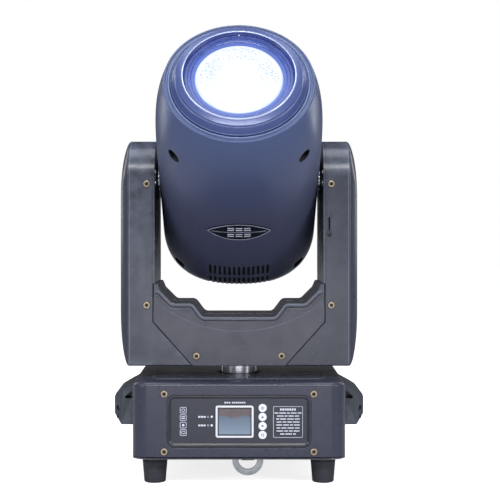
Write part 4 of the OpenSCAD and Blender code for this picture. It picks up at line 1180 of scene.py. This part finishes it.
def head_shells():
    piece(shell_half("front_casing", -1), "head", "head_abs", mat_head, "head_front_shell")
    piece(shell_half("rear_casing", 1), "head", "head_abs", mat_head, "head_rear_shell")
    filters = []
    for side in (-1, 1):
        rings = []
        for w in range(-124, -51, 4):
            r = shell_radius(w) - 4
            rings.append([(x, side * surface_y(x, w, r), w) for x in range(-50, 51, 4)])
        filters.append(skin("filter", rings, closed=False, caps=False))
    sheet = join("vent_filters", filters)
    thicken(sheet, 1.5, 0)
    piece(shade(moved(sheet, HEAD), 50), "head", "dark_plastic", mat_filter)

    cups = []
    heads = []
    for x, w, seat in SHELL_SCREWS:
        for s in (-1, 1):
            for side in (-1, 1):
                rings = []
                section = ((0, seat), (7.2, seat), (7.2, None), (6.7, None), (6.7, seat + 1),
                           (0, seat + 1))
                for r, level in section:
                    ring = []
                    for k in range(48):
                        a = 2 * math.pi * k / 48
                        px = s * x + r * math.cos(a)
                        pw = w + r * math.sin(a)
                        depth = surface_y(px, pw) - 1.4 if level is None else level
                        ring.append((px, side * depth, pw))
                    rings.append(ring)
                cups.append(skin("cup", rings, caps=False))
                place = at(s * x, side * (seat + 1), w, -90 * side) @ Matrix.Scale(0.8, 4)
                heads.append(moved(cap_screw("screw"), place))
    piece(shade(moved(join("screw_cups", cups), HEAD), 40), "head", "dark_plastic", mat_black)
    cap_heads = shade(moved(join("head_cap_screws", heads), HEAD), 38)
    piece(cap_heads, "head", "dark_plastic", mat_dark, "head_screws")


def bead(r, w, width, height):
    """Thin raised line around the optical axis."""
    half = width / 2
    profile = [(r - half, w - 0.5), (r - half, w + 0.4 * height), (r - 0.5 * half, w + 0.9 * height),
               (r, w + height), (r + 0.5 * half, w + 0.9 * height), (r + half, w + 0.4 * height),
               (r + half, w - 0.5)]
    return lathe("bead", profile, 192, True)


def nose_points(*points):
    """Lathe points whose second number counts from the front of the casing."""
    return [(r, FRONT + w) for r, w in points]


def nose():
    cone = nose_points((84, -32), (90, -32), (90.8, -4), (90.7, 0.6), (89.4, 3.2), (88.4, 4.4), (85.6, 9.2),
                       (85.1, 9.6), (84.6, 9.8), (84.2, 10.6), (83.2, 12.2), (78, 14), (75.6, 14.6),
                       (74.4, 13), (82, 9), (84, -6))
    shell = lathe("bezel_cone", cone, 192, True)
    piece(shade(moved(shell, HEAD), 24), "head", "nose_paint", mat_nose, "nose_ring")
    # Painted highlight: the bright rim round the lens opening.
    lip = nose_points((75.6, 14.6), (75.2, 15.5), (74.6, 15.95), (73.9, 15.7), (73.6, 14.8),
                      (74.2, 13.6), (75, 13.8))
    rim = lathe("bezel_rim", lip, 192, True)
    piece(shade(moved(rim, HEAD), 50), "head", "nose_paint", mat_rim_highlight)
    bore = nose_points((73.6, 14.8), (73.2, 13.4), (72, 12.6), (71.4, 11.8), (71.2, 9.8), (69.6, 9.3),
                       (68.2, 9.2), (67.6, 8.6), (67.3, 7.4), (64.4, 6.9), (63.6, 6.5), (63.1, 5.6),
                       (60.6, 5.4), (58.8, 5.2), (58.7, 4.4), (58.7, -2), (55.5, -2), (55.5, -6),
                       (84, -6))
    inner = lathe("bezel_inner", bore, 192)
    thicken(inner, 0.8, 1)
    piece(shade(moved(inner, HEAD), 24), "head", "nose_paint", mat_bore)
    # Raised lines painted as highlights: blue ones in the bore, pale ones on the bezel.
    sets = (("bore_lines", mat_bore_highlight, ((70.9, 9.5, 0.8, 0.5), (67.1, 7.2, 0.7, 0.5),
                                           (62.8, 5.4, 0.6, 0.4))),
            ("bezel_lines", mat_line_highlight, ((84.4, 9.7, 0.9, 0.7), (90, 1.4, 0.8, 0.5),
                                       (93.3, -0.1, 1.1, 0.5), (99.1, -0.6, 0.9, 0.4))))
    for name, material, beads in sets:
        lines = [bead(r, FRONT + w, width, height) for r, w, width, height in beads]
        piece(shade(moved(join(name, lines), HEAD), 50), "head", "nose_paint", material)

    dome_r = 200
    rim_w = FRONT + 5
    sink = rim_w - math.sqrt(dome_r ** 2 - LENS_R ** 2)
    profile = []
    for k in range(25):
        r = (LENS_R - 0.6) * k / 24
        profile.append((r, sink + math.sqrt(dome_r ** 2 - r * r)))
    profile += [(LENS_R - 0.1, rim_w - 0.4), (LENS_R - 0.1, FRONT - 1.8), (0, FRONT - 1.8)]
    lens = lathe("lens_dome", profile, 160)
    piece(shade(moved(lens, HEAD), 50), "head", "lens_glass", mat_lens, "front_lens")
    profile = [(0, 0.9), (0.8, 0.8), (1.2, 0.4), (1.3, -0.6), (0, -0.6)]
    stud = moved(lathe("stud", profile, 20), HEAD @ at(0, 71.4, FRONT + 11, 90))
    stud.name = "bore_stud"
    piece(shade(stud, 45), "head", "plated_steel", mat_steel)


def on_head(x, w, lift):
    """Point on the casing's lower front, raised by lift."""
    return (x, -surface_y(x, w, HEAD_R + lift), w)


def badge():
    arc = 61.7
    sink = 42.2

    def reach(r, x):
        return max(0.02, math.sqrt(max(0, r * r - x * x)) - sink)

    def loop(r, lift, count=40):
        length = math.sqrt(r * r - sink * sink)
        xs = [-length * math.cos(math.pi * k / count) for k in range(count + 1)]
        upper = [on_head(x, BADGE_W + reach(r, x), lift) for x in xs]
        lower = [on_head(x, BADGE_W - reach(r, x), lift) for x in xs[::-1]]
        return upper[:-1] + lower[:-1]

    count = 44
    length = 44.9
    xs = [-length * math.cos(math.pi * k / count) for k in range(count + 1)]
    rings = []
    for v in range(-8, 9):
        rings.append([on_head(x, BADGE_W + v / 8 * reach(arc, x), 1.1) for x in xs])
    plate = skin("badge_plate", rings, closed=False, caps=False)
    thicken(plate, 1.4, 0)
    piece(shade(moved(plate, HEAD), 50), "head", "badge_black", mat_badge, "badge")

    line = skin("badge_outline", [loop(arc - 0.5, 1.5), loop(arc - 0.5, 2.05), loop(arc - 1.6, 2.05),
                                  loop(arc - 1.6, 1.5), loop(arc - 0.5, 1.5)], caps=False)

    def strip(x0, x1, w0, w1, lift, thick=0.3):
        spans = [x0 + (x1 - x0) * k / 12 for k in range(13)]
        rings = [[on_head(x, w, lift + t) for x in spans] for w, t in
                 ((w0, -0.3), (w0, thick), (w1, thick), (w1, -0.3), (w0, -0.3))]
        return skin("strip", rings, closed=False, caps=False)

    bright = [line, strip(-38, 38, BADGE_W - 0.4, BADGE_W + 0.4, 1.8)]
    piece(shade(moved(join("badge_trim", bright), HEAD), 40), "head", "plated_steel", mat_silver)
    bars = []
    for row in (7.4, -7.4):
        for k in (-1, 0, 1):
            middle = k * 11.5
            bars.append(strip(middle - 4.6, middle + 4.6, BADGE_W + row + 1.4, BADGE_W + row + 3.4, 1.8))
            bars.append(strip(middle - 4.6, middle + 4.6, BADGE_W + row - 3.4, BADGE_W + row - 1.4, 1.8))
    piece(shade(moved(join("badge_bars", bars), HEAD), 40), "head", "white_print", mat_print)
    ribs = []
    for k in range(-9, 10):
        offset = k * 1.8 + 0.9
        span = math.sqrt(max(0, (arc - 3) ** 2 - (abs(offset) + sink) ** 2))
        if span > 4:
            ribs.append(strip(-span, span, BADGE_W + offset - 0.25, BADGE_W + offset + 0.25, 1.75, 0.12))
    piece(shade(moved(join("badge_ribs", ribs), HEAD), 40), "head", "badge_black", mat_bezel)


# ---------- carried-over nodes ----------

CARRIED = (
    (mat_painted, ("bottom_plate", "ring_saddle")),
    (mat_base, ("front_panel", "rear_panel")),
    (mat_alloy, ("power_supply", "pan_pulley", "pan_motor_pulley", "tilt_motor_pulley", "tilt_pulley",
                 "heat_sink")),
    (mat_board, ("control_boards",)),
    (mat_chassis, ("yoke_frame", "head_chassis")),
    (mat_turned, ("pan_bearing", "tilt_bearings", "guide_rods", "tilt_axles")),
    (mat_belt, ("pan_belt", "tilt_belt")),
    (mat_dark, ("drive_motors", "rear_grille", "wheel_motors", "focus_carriage", "zoom_carriage")),
    (mat_copper, ("led_engine",)),
    (mat_black, ("fan_frame", "fan_rotor")),
    (mat_glass, ("color_wheel", "prism_arm")),
    (mat_steel, ("gobo_wheel",)),
)


def dress_nodes():
    for material, names in CARRIED:
        for name in names:
            slots = nodes[name].data.materials
            slots.clear()
            slots.append(material)


# ---------- stage ----------

def stage():
    half = 9000
    corners = [(-half, -half), (half, -half), (half, half), (-half, half)]
    floor = make("studio_floor", [(x, y, FLOOR_Z) for x, y in corners], [(0, 1, 2, 3)])
    # The camera sees the floor and the backdrop near white, and they light the object as a darker grey
    s = Surface("studio_white")
    seen = s.add("LightPath").outputs["Is Camera Ray"]
    pale = s.mix(s.noise(1.5, 2), (0.93, 0.93, 0.94, 1), (0.96, 0.96, 0.96, 1))
    s.set(Base_Color=s.mix(seen, (0.42, 0.42, 0.44, 1), pale))
    s.set(Emission_Color=s.mix(seen, (0.1, 0.1, 0.11, 1), (0.78, 0.78, 0.78, 1)), Roughness=0.7)
    s.shader.inputs["Emission Strength"].default_value = 1
    floor.data.materials.append(s.material)

    world = bpy.data.worlds.new("studio")
    world.use_nodes = True
    tree = world.node_tree
    ray = tree.nodes.new("ShaderNodeLightPath")
    side = tree.nodes.new("ShaderNodeSeparateXYZ")
    tree.links.new(tree.nodes.new("ShaderNodeTexCoord").outputs["Generated"], side.inputs[0])
    ahead = tree.nodes.new("ShaderNodeMapRange")
    for key, value in (("From Min", -0.7), ("From Max", 0.8), ("To Min", 0.44), ("To Max", 0.1)):
        ahead.inputs[key].default_value = value
    tree.links.new(side.outputs["Y"], ahead.inputs["Value"])
    level = tree.nodes.new("ShaderNodeMapRange")
    level.inputs["To Max"].default_value = 1
    tree.links.new(ahead.outputs[0], level.inputs["To Min"])
    tree.links.new(ray.outputs["Is Camera Ray"], level.inputs["Value"])
    tree.nodes["Background"].inputs[0].default_value = (1, 1, 1, 1)
    tree.links.new(level.outputs[0], tree.nodes["Background"].inputs[1])
    scene.world = world

    def softbox(name, place, target, size, power, color=(1, 1, 1)):
        data = bpy.data.lights.new(name, "AREA")
        data.shape = "RECTANGLE"
        data.size, data.size_y = size
        data.energy = power
        data.color = color
        lamp = bpy.data.objects.new(name, data)
        lamp.location = place
        lamp.rotation_euler = (Vector(target) - Vector(place)).to_track_quat("-Z", "Y").to_euler()
        scene.collection.objects.link(lamp)

    softbox("key_front", (0, -1.75, 1.52), (0, 0, 0.4), (1.6, 0.14), 24)
    softbox("key_left", (-1.6, -1.3, 1.2), (0, 0, 0.35), (0.5, 1.3), 9)
    softbox("fill_right", (1.7, -1.3, 0.9), (0, 0, 0.3), (0.5, 1.3), 10)
    softbox("top", (0, -0.25, 1.9), (0, 0, 0.3), (1.4, 0.9), 16, (0.86, 0.91, 1))
    softbox("low_front", (0, -1.7, 0.1), (0, -0.1, -0.01), (1.1, 0.25), 3)
    softbox("rim_left", (-1.3, 0.9, 0.9), (0, 0, 0.3), (0.3, 1.4), 5)
    softbox("rim_right", (1.3, 0.9, 0.9), (0, 0, 0.3), (0.3, 1.4), 5)

    data = bpy.data.cameras.new("camera")
    data.lens = 89.5
    data.sensor_width = 36
    data.shift_x = 0.022
    data.shift_y = -0.04
    data.clip_end = 60
    camera = bpy.data.objects.new("camera", data)
    camera.location = (0, -1.82, 0.314)
    camera.rotation_euler = (math.radians(90), 0, 0)
    scene.collection.objects.link(camera)
    scene.camera = camera
    scene.view_settings.view_transform = "Standard"
    scene.view_settings.look = "None"


base_cover()
front_panel()
buttons()
rear_fittings()
handles()
feet_and_ring()
arm_housings()
arm_domes()
crossbar()
yoke_fittings()
tilt_lock()
head_shells()
nose()
badge()
dress_nodes()
stage()
